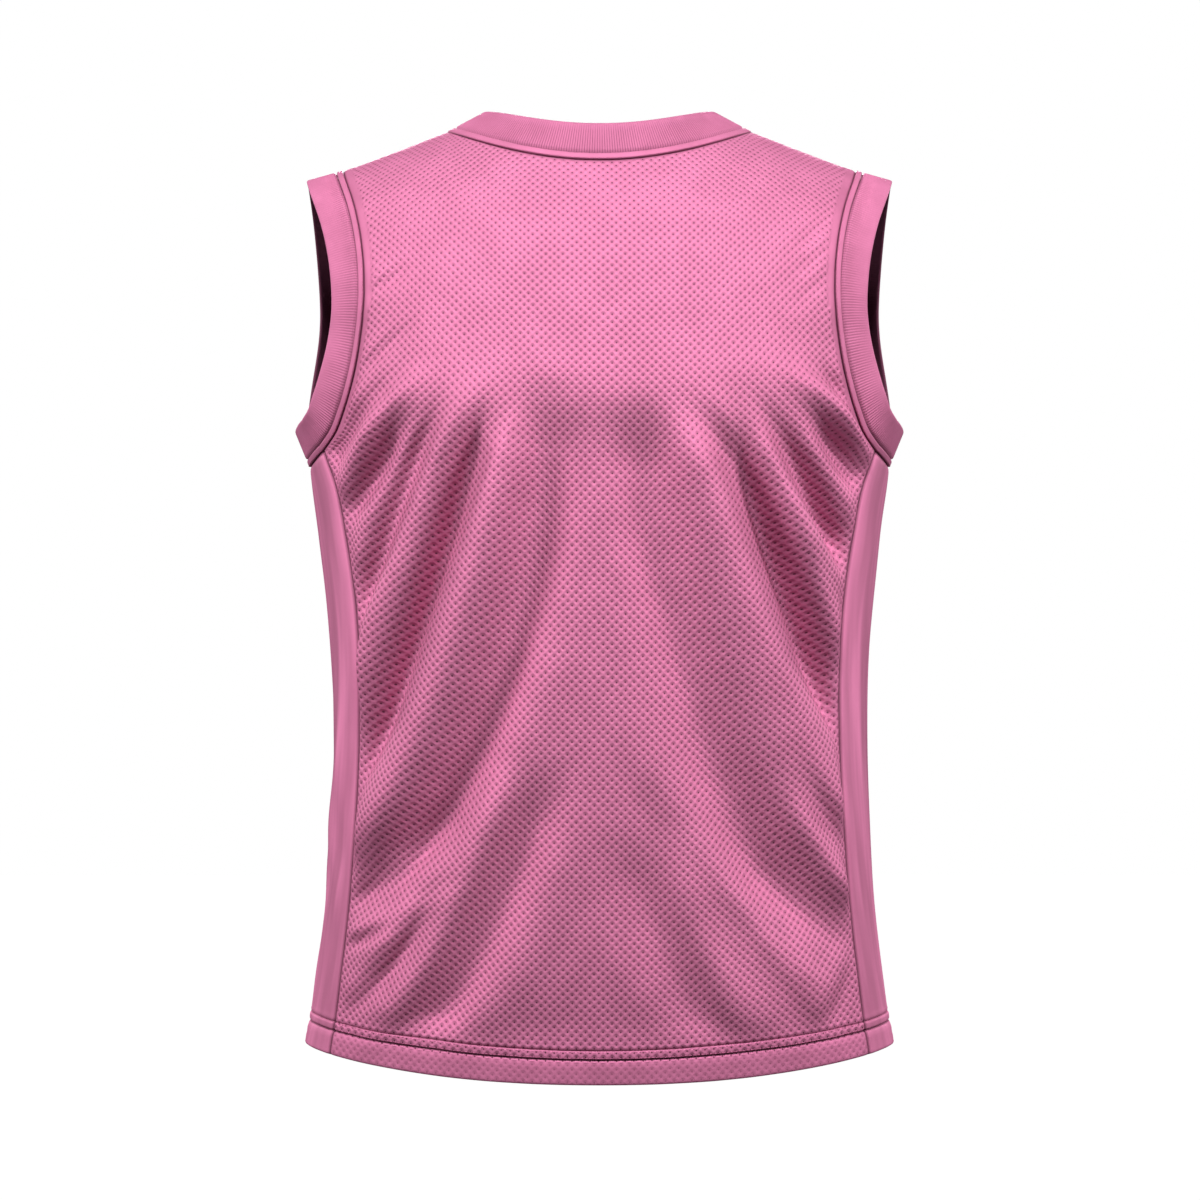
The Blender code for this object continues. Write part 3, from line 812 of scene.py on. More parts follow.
@dataclass(frozen=True)
class Dye:
    """The pink of the cloth, and its painted shade and highlight colours, in scene linear values."""

    light: tuple[float, float, float, float] = (0.46, 0.140, 0.254, 1.0)
    deep: tuple[float, float, float, float] = (0.40, 0.120, 0.218, 1.0)
    # Painted shade: in the holes, the rib grooves, the seams and the hem's grooves
    hole: tuple[float, float, float, float] = (0.10, 0.028, 0.052, 1.0)
    # Painted highlight on the ridges between the holes
    ridge: tuple[float, float, float, float] = (0.54, 0.166, 0.300, 1.0)
    gloss: tuple[float, float, float, float] = (1.0, 0.31, 0.56, 1.0)
    # Painted shade on the inner face
    reverse: tuple[float, float, float, float] = (0.10, 0.030, 0.055, 1.0)


@dataclass(frozen=True)
class Finish:
    """A cloth finish: how it shines, and how deep its texture is."""

    name: str
    dye: Dye = Dye()
    roughness: float = 0.6
    metallic: float = 0.28
    specular: float = 0.3
    knit_depth: float = 0.00005
    wale: float = 0.0009
    course: float = 0.0007
    streak: float = 1.0
    knit_relief: float = 0.6
    # Shares of highlight painted on the knit's ridges, and of shade painted in the seams and on the
    # inner face
    painted_ridge_highlight: float = 0.6
    painted_seam_shade: float = 0.85
    reverse_shade: float = 0.9
    hole_depth: float = 0.0
    # The rib grooves' pitch, and the share and reach of the shade painted in them
    groove_pitch: float = 0.0
    groove_shade: float = 0.62
    groove_reach: tuple[float, float, float] = (0.02, 0.03, 0.1)

    def material(self) -> bpy.types.Material:
        """Builds the material.

        Returns:
            A Principled BSDF over the cloth's own coordinates.
        """
        made = bpy.data.materials.new(self.name)
        made.use_nodes = True
        tree = made.node_tree
        w = Wiring(tree)
        shader = tree.nodes["Principled BSDF"]
        cloth = w.node("ShaderNodeUVMap", uv_map="cloth").outputs["UV"]
        sizes = {"Wale": self.wale, "Course": self.course, "Streak": self.streak}
        knit = self._group("fine_knit", w, cloth, sizes)
        colour = w.mix(knit.outputs["Tone"], self.dye.deep, self.dye.light)
        bump = w.node("ShaderNodeBump")
        bump.inputs["Strength"].default_value = self.knit_relief
        bump.inputs["Distance"].default_value = self.knit_depth
        w.join(knit.outputs["Height"], bump.inputs["Height"])
        if self.hole_depth > 0:
            colour, bump = self._pierce(w, cloth, colour, bump)
        if self.groove_pitch > 0:
            clear, gone, left = self.groove_reach
            sizes = {"Pitch": self.groove_pitch, "Clear To": clear, "Gone At": gone, "Left": left}
            groove = self._group("rib_groove_painted_shade", w, cloth, sizes).outputs["Groove"]
            # Shade painted in the grooves between the ribs
            colour = w.mix(w.math("MULTIPLY", groove, self.groove_shade), colour, self.dye.hole)
        # Shade painted along the seams and in the hem's grooves
        dark = w.math("MULTIPLY", self._mask("seam", w), self.painted_seam_shade, clamp=True)
        colour = w.mix(dark, colour, self.dye.hole)
        # Shade painted on the inner face
        inside = w.math("MULTIPLY", self._mask("reverse", w), self.reverse_shade)
        colour = w.mix(inside, colour, self.dye.reverse)
        w.join(colour, shader.inputs["Base Color"])
        w.join(bump.outputs["Normal"], shader.inputs["Normal"])
        shader.inputs["Roughness"].default_value = self.roughness
        shader.inputs["Metallic"].default_value = self.metallic
        shader.inputs["Specular IOR Level"].default_value = self.specular
        shader.inputs["Specular Tint"].default_value = self.dye.gloss
        return made

    def _pierce(
        self, w: Wiring, cloth: bpy.types.NodeSocket, colour: bpy.types.NodeSocket, bump: bpy.types.Node
    ) -> tuple[bpy.types.NodeSocket, bpy.types.Node]:
        """Adds the knit's holes wherever the cloth isn't plain.

        Args:
            w: The material's wiring.
            cloth: The cloth's coordinates.
            colour: The colour so far.
            bump: The relief so far.

        Returns:
            The colour and the relief with the holes.
        """
        holes = self._group("staggered_pinholes", w, cloth, {})
        pierced = w.math("SUBTRACT", 1.0, self._mask("plain", w))
        # Highlight painted on the ridges between the holes
        ridges = w.math("MULTIPLY", holes.outputs["Ridge"], pierced)
        colour = w.mix(w.math("MULTIPLY", ridges, self.painted_ridge_highlight), colour, self.dye.ridge)
        # Shade painted in the holes
        colour = w.mix(w.math("MULTIPLY", holes.outputs["Hole"], pierced), colour, self.dye.hole)
        dimples = w.node("ShaderNodeBump")
        dimples.inputs["Strength"].default_value = 1.0
        dimples.inputs["Distance"].default_value = self.hole_depth
        w.join(w.math("MULTIPLY", holes.outputs["Height"], pierced), dimples.inputs["Height"])
        w.join(bump.outputs["Normal"], dimples.inputs["Normal"])
        return colour, dimples

    @staticmethod
    def _mask(name: str, w: Wiring) -> bpy.types.NodeSocket:
        """Reads one of the mesh's own masks."""
        return w.node("ShaderNodeAttribute", attribute_name=name).outputs["Fac"]

    @staticmethod
    def _group(
        name: str, w: Wiring, cloth: bpy.types.NodeSocket, values: dict[str, float]
    ) -> bpy.types.Node:
        """Places a node group with its own values."""
        node = w.node("ShaderNodeGroup", node_tree=bpy.data.node_groups[name])
        w.join(cloth, node.inputs["Vector"])
        for key, value in values.items():
            node.inputs[key].default_value = value
        return node


@dataclass
class Wardrobe:
    """The jersey's finishes, each built once."""

    mesh: Finish = Finish("perforated_knit", hole_depth=0.0005)
    plain: Finish = Finish("smooth_knit", metallic=0.15)
    satin: Finish = Finish(
        "satin_side_knit",
        dye=Dye(light=(0.68, 0.212, 0.378, 1.0), deep=(0.35, 0.107, 0.192, 1.0)),
        metallic=0.2,
        streak=0.1,
    )
    neck_rib: Finish = Finish(
        "neck_rib_knit",
        # A darker copy of the rib's dye, with stronger groove shade: shade painted on the upturned
        # collar
        dye=Dye(light=(0.42, 0.128, 0.232, 1.0), deep=(0.37, 0.111, 0.202, 1.0)),
        roughness=0.65,
        metallic=0.15,
        groove_pitch=0.00195,
        groove_shade=0.75,
        groove_reach=(0.024, 0.031, 0.1),
    )
    armhole_rib: Finish = Finish(
        "armhole_rib_knit",
        roughness=0.65,
        metallic=0.15,
        groove_pitch=0.00215,
        groove_reach=(0.006, 0.016, 0.15),
    )
    thread: Finish = Finish("sewing_thread", roughness=0.45, specular=0.35, wale=0.0004, course=0.0003)
    made: dict[str, bpy.types.Material] = field(default_factory=dict)

    def __post_init__(self) -> None:
        """Builds the node groups and materials."""
        pinhole_group()
        knit_group()
        rib_group()
        for finish in (self.mesh, self.plain, self.satin, self.neck_rib, self.armhole_rib, self.thread):
            self.made[finish.name] = finish.material()

    def dress(self, piece: bpy.types.Object, finish: Finish) -> None:
        """Gives a piece its finish."""
        piece.data.materials.clear()
        piece.data.materials.append(self.made[finish.name])


def mesh_object(
    name: str, points: Array, faces: Array, uvs: Array, masks: Optional[dict[str, Array]] = None
) -> bpy.types.Object:
    """Makes a smooth mesh object of quads.

    Args:
        name: The piece's name.
        points: Points in millimetres.
        faces: Four point numbers a row.
        uvs: Cloth coordinates of each point, in millimetres.
        masks: Named values of each point, for the materials.

    Returns:
        The object, in metres.
    """
    mesh = bpy.data.meshes.new(name)
    mesh.vertices.add(len(points))
    mesh.vertices.foreach_set("co", (points * MM).ravel())
    mesh.loops.add(faces.size)
    mesh.loops.foreach_set("vertex_index", faces.ravel())
    mesh.polygons.add(len(faces))
    mesh.polygons.foreach_set("loop_start", np.arange(0, faces.size, faces.shape[1]))
    layer = mesh.uv_layers.new(name="cloth")
    layer.data.foreach_set("uv", (uvs[faces.ravel()] * MM).ravel())
    for mask, values in (masks or {}).items():
        attribute = mesh.attributes.new(mask, "FLOAT", "POINT")
        attribute.data.foreach_set("value", values.ravel().astype(np.float32))
    mesh.update(calc_edges=True)
    mesh.shade_smooth()
    mesh.set_sharp_from_angle(angle=SHARP_ANGLE)
    made = bpy.data.objects.new(name, mesh)
    bpy.context.scene.collection.objects.link(made)
    return made


def grid_faces(rows: int, columns: int, start: int, closed: bool, flip: bool) -> Array:
    """Quads of a grid of points, numbered row by row from start."""
    numbers = start + np.arange(rows * columns).reshape(rows, columns)
    if closed:
        numbers = np.concatenate([numbers, numbers[:1]])
    a, b, c, d = numbers[:-1, :-1], numbers[:-1, 1:], numbers[1:, 1:], numbers[1:, :-1]
    order = (d, c, b, a) if flip else (a, b, c, d)
    return np.stack(order, axis=-1).reshape(-1, 4)


def shell(
    name: str, outer: Array, inner: Array, uvs: Array, marks: dict[str, Array], closed: bool = False
) -> bpy.types.Object:
    """Makes one closed body from a grid of outer points and one of inner points.

    Args:
        name: The piece's name.
        outer: Grid of points of the outer face.
        inner: Grid of points of the inner face.
        uvs: Grid of cloth coordinates.
        marks: Grids of named values for the materials, such as the painted seam shade: 1 in the seams
            and 0 elsewhere.
        closed: Whether the last row joins the first.

    Returns:
        The object.
    """
    rows, columns = outer.shape[:2]
    count = rows * columns
    faces = [grid_faces(rows, columns, 0, closed, False), grid_faces(rows, columns, count, closed, True)]
    numbers = np.arange(count).reshape(rows, columns)
    if closed:
        numbers = np.concatenate([numbers, numbers[:1]])
    rims = [(numbers[:, 0], True), (numbers[:, -1], False)]
    if not closed:
        rims += [(numbers[0], False), (numbers[-1], True)]
    for line, flip in rims:
        a, b = line[:-1], line[1:]
        order = (a, a + count, b + count, b) if not flip else (b, b + count, a + count, a)
        faces.append(np.stack(order, axis=-1))
    points = np.concatenate([outer.reshape(-1, 3), inner.reshape(-1, 3)])
    both = np.concatenate([uvs.reshape(-1, 2)] * 2)
    # 1 on the inner face, where shade is painted
    masks = {"reverse": np.repeat([0.0, 1.0], count)}
    for mark, grid in marks.items():
        masks[mark] = np.concatenate([grid.ravel()] * 2)
    return mesh_object(name, points, np.concatenate(faces), both, masks)


def painted_hem_shade(height: Array) -> Array:
    """How much shade is painted in the grooves beside the hem's ridge, and 0 elsewhere."""
    total = np.zeros_like(height)
    for groove in PAINTED_HEM_SHADES:
        total += groove.shade * np.exp(-(((height - groove.height) / groove.spread) ** 2))
    return total


def declare_cloth(
    base: Array,
    closed: bool = False,
    body: Optional[int] = None,
) -> None:
    """Works out the flat width and length of what shows of a piece of cloth, and keeps neither.

    Args:
        base: Its grid of points with no folds or ribs.
        closed: Whether the last row joins the first.
        body: How many rows lie below the armholes, where the cut is widest.
    """
    if closed:
        base = np.concatenate([base, base[:1]])
    width = float(along_lengths(base[:body], 1)[:, -1].max()) * MM
    length = float(along_lengths(base, 0)[-1].max()) * MM


class Edge(NamedTuple):
    """A panel's edge as its neighbours share it: points, normals."""

    points: Array
    normals: Array


@dataclass(frozen=True)
class Seam:
    """How a panel meets its neighbours: it sinks beside the seam, with shade painted there, and stops
    short of it.
    """

    dip: float = 1.3
    reach: float = 1.9
    # How far the painted seam shade spreads
    line: float = 0.9
    gap: float = 0.1

    def groove(self, away: Array) -> Array:
        """How far the cloth sinks, by its distance from the seam."""
        return self.dip * np.exp(-((away / self.reach) ** 2))

    def mark(self, away: Array) -> Array:
        """How much shade is painted on the cloth, by its distance from the seam."""
        return np.exp(-((away / self.line) ** 2))

    def part(self, grid: Array, base: Array) -> None:
        """Moves a grid's side and top edges in by the gap."""
        every = slice(None)
        for edge, beside in (((every, 0), (every, 1)), ((every, -1), (every, -2)), ((-1,), (-2,))):
            grid[edge] += unit(base[beside] - base[edge]) * self.gap


@dataclass
class Panel:
    """The back or front panel, cut in one piece from the hem to the shoulder seams."""

    form: BodyForm
    half: Half
    folds: FoldField
    columns: int = 190
    body_rows: int = 150
    armhole_rows: int = 72
    hem_between: int = 1
    neck_share: float = 0.6
    cloth: float = 1.4
    fold_edge: float = 15.0
    plain_armhole: float = 6.5
    plain_top: float = 2.5
    plain_side: float = 2.0
    plain_hem: float = 0.55
    hem_height: float = 17.0
    hem_folds: float = 0.35
    hem_top: float = 24.0
    hem_fade: float = 22.0
    armhole_spacing: float = 1.6
    seam: Seam = Seam()
    base: Array = field(default_factory=lambda: np.zeros(0))
    normals: Array = field(default_factory=lambda: np.zeros(0))
    outer: Array = field(default_factory=lambda: np.zeros(0))
    neck_span: tuple[int, int] = (0, 0)
    underarm_row: int = 0

    @property
    def node(self) -> str:
        """The name of the CAD node that the panel stands for."""
        return self.half.name.lower() + "_panel"

    def levels(self) -> tuple[Array, Array, Array]:
        """Heights of the rows at the side edge.

        Returns:
            Heights, rises and thicknesses of the rows.
        """
        edge = self.form.hem_edge()
        heights = np.array([row.height for row in HEM_ROWS])
        parts = self.hem_between + 1
        steps = np.arange(len(heights) * parts - self.hem_between) / parts
        heights = np.interp(steps, np.arange(len(heights)), heights)
        rises = curve(HEM_ROWS, "rise", heights)
        thicknesses = curve(HEM_ROWS, "thickness", heights)
        start = edge + heights[-1]
        climb = self.form.underarm_z - start
        body = start + climb * np.arange(1, self.body_rows + 1) / self.body_rows
        top = float(self.form.shoulder_z(self.form.shoulder_seam_end))
        left = 1 - np.arange(1, self.armhole_rows + 1) / self.armhole_rows
        share = left**self.armhole_spacing
        sides = top + (self.form.underarm_z - top) * share
        flat = np.zeros(len(body) + len(sides))
        return (
            np.concatenate([edge + heights, body, sides]),
            np.concatenate([rises, flat]),
            np.concatenate([thicknesses, flat + self.cloth]),
        )

    def column_shares(self) -> tuple[Array, Array]:
        """Each column's share of the half width lower down, and on the top edge."""
        even = np.linspace(-1, 1, self.columns + 1)
        neck = 2 * round(self.columns * self.neck_share / 2)
        shoulder = (self.columns - neck) // 2
        ratio = self.form.neck_half_width / self.form.shoulder_seam_end
        out = np.linspace(1.0, ratio, shoulder + 1)[:-1]
        round_neck = np.sin(np.linspace(-math.pi / 2, math.pi / 2, neck + 1)) * ratio
        self.neck_span = (shoulder, shoulder + neck)
        return even, np.concatenate([-out, round_neck, out[::-1]])

    def build(self, wardrobe: Wardrobe) -> bpy.types.Object:
        """Builds and dresses the panel.

        Args:
            wardrobe: The finishes.

        Returns:
            The piece.
        """
        form, half = self.form, self.half
        side_z, hem_rise, thickness = self.levels()
        even, on_top = self.column_shares()
        first, last = side_z[0], side_z[-1]
        self.underarm_row = len(side_z) - 1 - self.armhole_rows
        up = ((side_z - first) / (last - first))[:, None]
        gather = smooth_step((side_z - form.underarm_z) / (last - form.underarm_z))[:, None]
        width = form.panel_half_width(side_z, half)[:, None]
        share = even + (on_top - even) * gather
        low = form.hem_z(even * form.panel_half_width(first, half), half)
        high = form.top_z(on_top * form.shoulder_seam_end, half)
        low[[0, -1]], high[[0, -1]] = first, last
        x, z = share * width, low + up * (high - low)
        base, normals = form.point(x, z, half), form.normal(x, z, half)
        self.base, self.normals = base, normals
        away = along_lengths(base, 1)
        from_side = np.minimum(away, away[:, -1:] - away)
        height = along_lengths(base, 0)
        from_top = height[-1] - height
        inside = smooth_step(from_side / self.fold_edge) * smooth_step(from_top / self.fold_edge)
        clear = smooth_step((height - self.hem_top) / self.hem_fade)
        above_hem = self.hem_folds + (1 - self.hem_folds) * clear
        from_seam = np.minimum(from_side, from_top)
        rise = self.folds.rise(x, z) * inside * above_hem + hem_rise[:, None]
        rise -= self.seam.groove(from_seam)
        rise += SIDE_GATHERS.rise(from_side, height) + HEM_GATHERS.rise(height, from_side)
        outer = base + rise[..., None] * normals
        inner = outer - thickness[:, None, None] * normals
        for grid in (outer, inner):
            self.seam.part(grid, base)
        self.outer = outer
        uvs = np.stack([away - away[:, -1:] / 2, height], axis=-1)
        plain = self.plain_cloth(from_side, from_top, height)
        # Shade painted along the seams and in the hem's grooves
        painted_shade_lines = self.seam.mark(from_seam) + painted_hem_shade(side_z - first)[:, None]
        if half is Half.FRONT:
            outer, inner, uvs = outer[:, ::-1], inner[:, ::-1], uvs[:, ::-1]
            plain, painted_shade_lines = plain[:, ::-1], painted_shade_lines[:, ::-1]
        piece = shell(self.node + "_cloth", outer, inner, uvs, {"plain": plain, "seam": painted_shade_lines})
        wardrobe.dress(piece, wardrobe.mesh)
        return piece

    def plain_cloth(self, from_side: Array, from_top: Array, height: Array) -> Array:
        """1 beside the seams, where the knit has no holes, and less along the hem."""
        at_armhole = np.where(np.arange(len(height)) >= self.underarm_row, 1.0, 0.0)[:, None]
        plain = np.maximum(from_side < self.plain_armhole, from_top < self.plain_top) * at_armhole
        plain = np.maximum(plain, from_side < self.plain_side)
        return np.maximum(plain, self.plain_hem * (height < self.hem_height)).astype(float)

    def armhole_edge(self, side: Side) -> Edge:
        """The armhole's edge, from the underarm up."""
        column = 0 if side is Side.LEFT else -1
        return Edge(self.base[self.underarm_row :, column], self.normals[self.underarm_row :, column])

    def neck_edge(self) -> Edge:
        """The neck's edge, from the wearer's left to the right."""
        start, end = self.neck_span
        return Edge(self.base[-1, start : end + 1], self.normals[-1, start : end + 1])


@dataclass
class SidePanel:
    """The plain panel under one arm."""

    form: BodyForm
    side: Side
    columns: int = 56
    sag: float = 10.5
    sag_power: int = 6
    crease: float = 1.1
    crease_margin: float = 12.0
    crease_spread: float = 0.33
    lean: float = 2.2
    sway: float = 0.5
    sway_waves: float = 5.0
    long_waves: float = 1.6
    long_lean: float = 2.0
    short_waves: float = 3.1
    short_lean: float = 3.0
    short_phase: float = 1.0
    short_share: float = 0.45
    seam: Seam = Seam()
    base: Array = field(default_factory=lambda: np.zeros(0))
    normals: Array = field(default_factory=lambda: np.zeros(0))

    @property
    def node(self) -> str:
        """The name of the CAD node that the panel stands for."""
        return "side_panel_" + self.side.name.lower()

    def build(self, wardrobe: Wardrobe, panel: Panel) -> bpy.types.Object:
        """Builds and dresses the panel.

        Args:
            wardrobe: The finishes.
            panel: The back panel, whose rows this one shares.

        Returns:
            The piece.
        """
        form = self.form
        side_z, hem_rise, thickness = (row[: panel.underarm_row + 1] for row in panel.levels())
        hem = side_z[0]
        across = np.linspace(-1, 1, self.columns + 1)
        bow = 1 - across**2
        up = ((side_z - hem) / (form.underarm_z - hem))[:, None]
        z = side_z[:, None] + bow * ((1 - up) * (form.hem_side_z - hem) - up**self.sag_power * self.sag)
        seam_share = curve(SIDE_SEAMS, "share", side_z) ** (form.section_power / 2)
        reach = np.arccos(np.minimum(1.0, seam_share))
        base, normals = form.side(across * reach[:, None], z, self.side)
        for column, half in ((0, Half.BACK), (-1, Half.FRONT)):
            x = self.side.value * form.panel_half_width(side_z, half)
            base[:, column] = form.point(x, side_z, half)
            normals[:, column] = form.normal(x, side_z, half)
        self.base, self.normals = base, normals
        away, height = along_lengths(base, 1), along_lengths(base, 0)
        from_seam = np.minimum(away, away[:, -1:] - away)
        from_top = height[-1] - height
        inside = smooth_step(from_seam / self.crease_margin)
        rise = hem_rise[:, None] + self.creases(across, up) * inside
        rise -= self.seam.groove(from_seam)
        rise -= self.seam.groove(from_top)
        outer = base + rise[..., None] * normals
        inner = outer - thickness[:, None, None] * normals
        for grid in (outer, inner):
            self.seam.part(grid, base)
        uvs = np.stack([away, height], axis=-1)
        # Shade painted along the seams and in the hem's grooves
        painted_shade_lines = self.seam.mark(np.minimum(from_seam, from_top)) + painted_hem_shade(side_z - hem)[:, None]
        if self.side is Side.LEFT:
            outer, inner, uvs, painted_shade_lines = (part[:, ::-1] for part in (outer, inner, uvs, painted_shade_lines))
        piece = shell(self.node + "_cloth", outer, inner, uvs, {"seam": painted_shade_lines})
        wardrobe.dress(piece, wardrobe.satin)
        declare_cloth(base)
        return piece

    def creases(self, across: Array, up: Array) -> Array:
        """Long soft creases that cross the panel at a slant."""
        lean = self.lean * up + self.sway * np.sin(self.sway_waves * up + self.side.value)
        long = np.cos(math.pi * (self.long_waves * across + self.long_lean * lean))
        short = np.cos(math.pi * (self.short_waves * across - self.short_lean * lean) + self.short_phase)
        waist = np.exp(-(((up - 0.5) / self.crease_spread) ** 2))
        return self.crease * (long + self.short_share * short) * waist

    def top_edge(self) -> Edge:
        """The armhole's edge, from the back to the front."""
        return Edge(self.base[-1], self.normals[-1])


@dataclass
class SeamLoop:
    """A closed seam line, evenly spaced, with the directions that a band leaves it in."""

    LEAST_POINTS: ClassVar[int] = 8
    ALONG_SPREAD: ClassVar[float] = 18.0
    ACROSS_SPREAD: ClassVar[float] = 16.0
    SPREADS_KEPT: ClassVar[int] = 4

    points: Array
    normals: Array
    aways: Array
    lengths: Array
    total: float

    @classmethod
    def through(cls, points: Array, normals: Array, spacing: float) -> "SeamLoop":
        """Respaces a closed line of points.

        Args:
            points: Points of the seam in order.
            normals: The form's outward directions there.
            spacing: Distance between the new points.

        Returns:
            The loop.
        """
        ring = np.concatenate([points, points[:1]])
        walk = along_lengths(ring, 0)
        count = max(cls.LEAST_POINTS, round(walk[-1] / spacing))
        at = np.arange(count) * walk[-1] / count
        outs = np.concatenate([normals, normals[:1]])
        points = np.stack([np.interp(at, walk, ring[:, k]) for k in range(3)], axis=-1)
        normals = np.stack([np.interp(at, walk, outs[:, k]) for k in range(3)], axis=-1)
        chords = np.roll(points, -1, axis=0) - np.roll(points, 1, axis=0)
        along = cls.smoothed(chords, cls.ALONG_SPREAD / spacing)
        normals = normals - along * np.sum(normals * along, axis=1, keepdims=True)
        normals = cls.smoothed(normals, cls.ACROSS_SPREAD / spacing)
        aways = cls.smoothed(np.cross(along, normals), cls.ACROSS_SPREAD / spacing)
        return cls(points, normals, aways, at, float(walk[-1]))

    @classmethod
    def smoothed(cls, vectors: Array, spread: float) -> Array:
        """Directions averaged with their neighbours over a spread counted in points."""
        reach = int(cls.SPREADS_KEPT * spread) + 1
        weights = np.exp(-((np.arange(-reach, reach + 1) / spread) ** 2) / 2)
        weights /= weights.sum()
        padded = np.concatenate([vectors[-reach:], vectors, vectors[:reach]])
        means = [np.convolve(padded[:, k], weights, mode="valid") for k in range(3)]
        return unit(np.stack(means, axis=-1))


@dataclass
class Band:
    """A strip of cloth beside a seam loop: a tape or a rib."""

    node: str
    loop: SeamLoop
    lifts: Array
    start: float
    width: float
    profile: Callable[[Array], Array]
    thickness: float
    across: int
    rib_pitch: float = 0.0
    rib_depth: float = 0.0
    rib_fade: float = 1.0
    rib_power: float = 0.8
    rib_start: float = 0.08
    rib_stop: float = 0.12
    fade_from: float = 0.35
    fade_over: float = 0.5
    back_rise: float = -0.5
    near_painted_shade: float = 0.08
    far_painted_shade: float = 0.08
    base: Array = field(default_factory=lambda: np.zeros(0))

    def directions(self) -> tuple[Array, Array]:
        """The directions across the strip and out of its face."""
        cos, sin = np.cos(self.lifts)[:, None], np.sin(self.lifts)[:, None]
        aways, normals = self.loop.aways, self.loop.normals
        return cos * aways + sin * normals, cos * normals - sin * aways

    def place(self, far: Array, rise: Array) -> Array:
        """Points at given distances across the strip, and how far they stand out."""
        out, face = self.directions()
        foot = self.loop.points[:, None] + out[:, None] * far[..., None]
        return foot + face[:, None] * rise[..., None]

    def ribs(self, share: Array) -> Array:
        """Depth of the ribs at each point of the loop and share of the width."""
        if not self.rib_pitch:
            return np.zeros((len(self.loop.lengths), len(share)))
        count = round(self.loop.total / self.rib_pitch)
        turns = np.pi * count * self.loop.lengths / self.loop.total
        wave = np.abs(np.cos(turns)) ** self.rib_power
        ends = smooth_step(share / self.rib_start) * smooth_step((1 - share) / self.rib_stop)
        fade = 1 - (1 - self.rib_fade) * smooth_step((share - self.fade_from) / self.fade_over)
        return self.rib_depth * (wave[:, None] - 1) * (ends * fade)[None, :]

    def build(self, wardrobe: Wardrobe, finish: Finish, slot: str) -> bpy.types.Object:
        """Builds and dresses the strip.

        Args:
            wardrobe: The finishes.
            finish: The strip's finish.
            slot: The record's material slot. Not used.

        Returns:
            The piece.
        """
        share = (1 - np.cos(np.linspace(0, math.pi, self.across + 1))) / 2
        size = (len(self.loop.points), len(share))
        far = np.broadcast_to(self.start + share * self.width, size)
        rise = self.profile(share) + self.ribs(share)
        outer = self.place(far, rise)
        back = self.profile(share) * self.back_rise - self.thickness
        inner = self.place(far, np.broadcast_to(back, rise.shape) - self.ribs(share))
        even = 1.0
        if self.rib_pitch:
            even = round(self.loop.total / self.rib_pitch) * self.rib_pitch / self.loop.total
        lengths = np.broadcast_to(self.loop.lengths[:, None] * even, far.shape)
        uvs = np.stack([lengths, far], axis=-1)
        # Shade painted along both edges of the strip
        near = np.exp(-((share / self.near_painted_shade) ** 2))
        painted_shade_lines = near + np.exp(-(((1 - share) / self.far_painted_shade) ** 2))
        marks = {"seam": np.broadcast_to(painted_shade_lines, far.shape)}
        piece = shell(self.node + "_cloth", outer, inner, uvs, marks, closed=True)
        wardrobe.dress(piece, finish)
        self.base = self.place(far, np.zeros_like(rise))
        return piece


@dataclass(frozen=True)
class Stitching:
    """Rows of short stitches of thread."""

    stitch: float = 2.3
    gap: float = 0.7
    radius: float = 0.19
    sides: int = 6

    def row(self, points: Array, normals: Array, closed: bool) -> tuple[Array, Array]:
        """Stitches along a line.

        Args:
            points: Points of the line.
            normals: Outward directions there.
            closed: Whether the line joins its start.

        Returns:
            Points and quads of the stitches.
        """
        if closed:
            points, normals = (np.concatenate([part, part[:1]]) for part in (points, normals))
        walk = along_lengths(points, 0)
        count = int(walk[-1] / (self.stitch + self.gap))
        pitch = walk[-1] / count
        stations = np.array([ring.place for ring in STITCH_RINGS])
        heights = np.array([ring.height for ring in STITCH_RINGS]) * self.radius
        sizes = np.array([ring.size for ring in STITCH_RINGS]) * self.radius
        at = np.arange(count)[:, None] * pitch + stations * self.stitch
        centre = np.stack([np.interp(at, walk, points[:, k]) for k in range(3)], axis=-1)
        face = unit(np.stack([np.interp(at, walk, normals[:, k]) for k in range(3)], axis=-1))
        along = unit(centre[:, -1:] - centre[:, :1])
        beside = unit(np.cross(along, face))
        turn = 2 * math.pi * np.arange(self.sides) / self.sides
        face, beside = face[..., None, :], beside[..., None, :]
        ring = np.cos(turn)[:, None] * beside + np.sin(turn)[:, None] * face
        rings = centre[..., None, :] + face * heights[:, None, None] + ring * sizes[:, None, None]
        numbers = np.arange(rings.size // 3).reshape(count, len(stations), self.sides)
        after = np.roll(numbers, -1, axis=2)
        quads = np.stack([numbers[:, :-1], numbers[:, 1:], after[:, 1:], after[:, :-1]], axis=-1)
        return rings.reshape(-1, 3), quads.reshape(-1, 4)

    def build(
        self, name: str, rows: Sequence[tuple[Array, Array, bool]], wardrobe: Wardrobe
    ) -> bpy.types.Object:
        """Builds one piece from several rows of stitches.

        Args:
            name: The piece's name.
            rows: Points, normals, and whether closed, of each row.
            wardrobe: The finishes.

        Returns:
            The piece.
        """
        points, faces, start = [], [], 0
        for row in rows:
            made, quads = self.row(*row)
            points.append(made)
            faces.append(quads + start)
            start += len(made)
        joined = np.concatenate(points)
        piece = mesh_object(name, joined, np.concatenate(faces), joined[:, [0, 2]])
        wardrobe.dress(piece, wardrobe.thread)
        return piece


class Trim(NamedTuple):
    """How an opening is finished: its tape, its rib and its stitching."""

    tape: str
    tape_width: float
    rib: str
    rib_width: float
    pitch: float
    fade: float
    stitching: str
    sewn_at: Sequence[float]
    finish: Finish


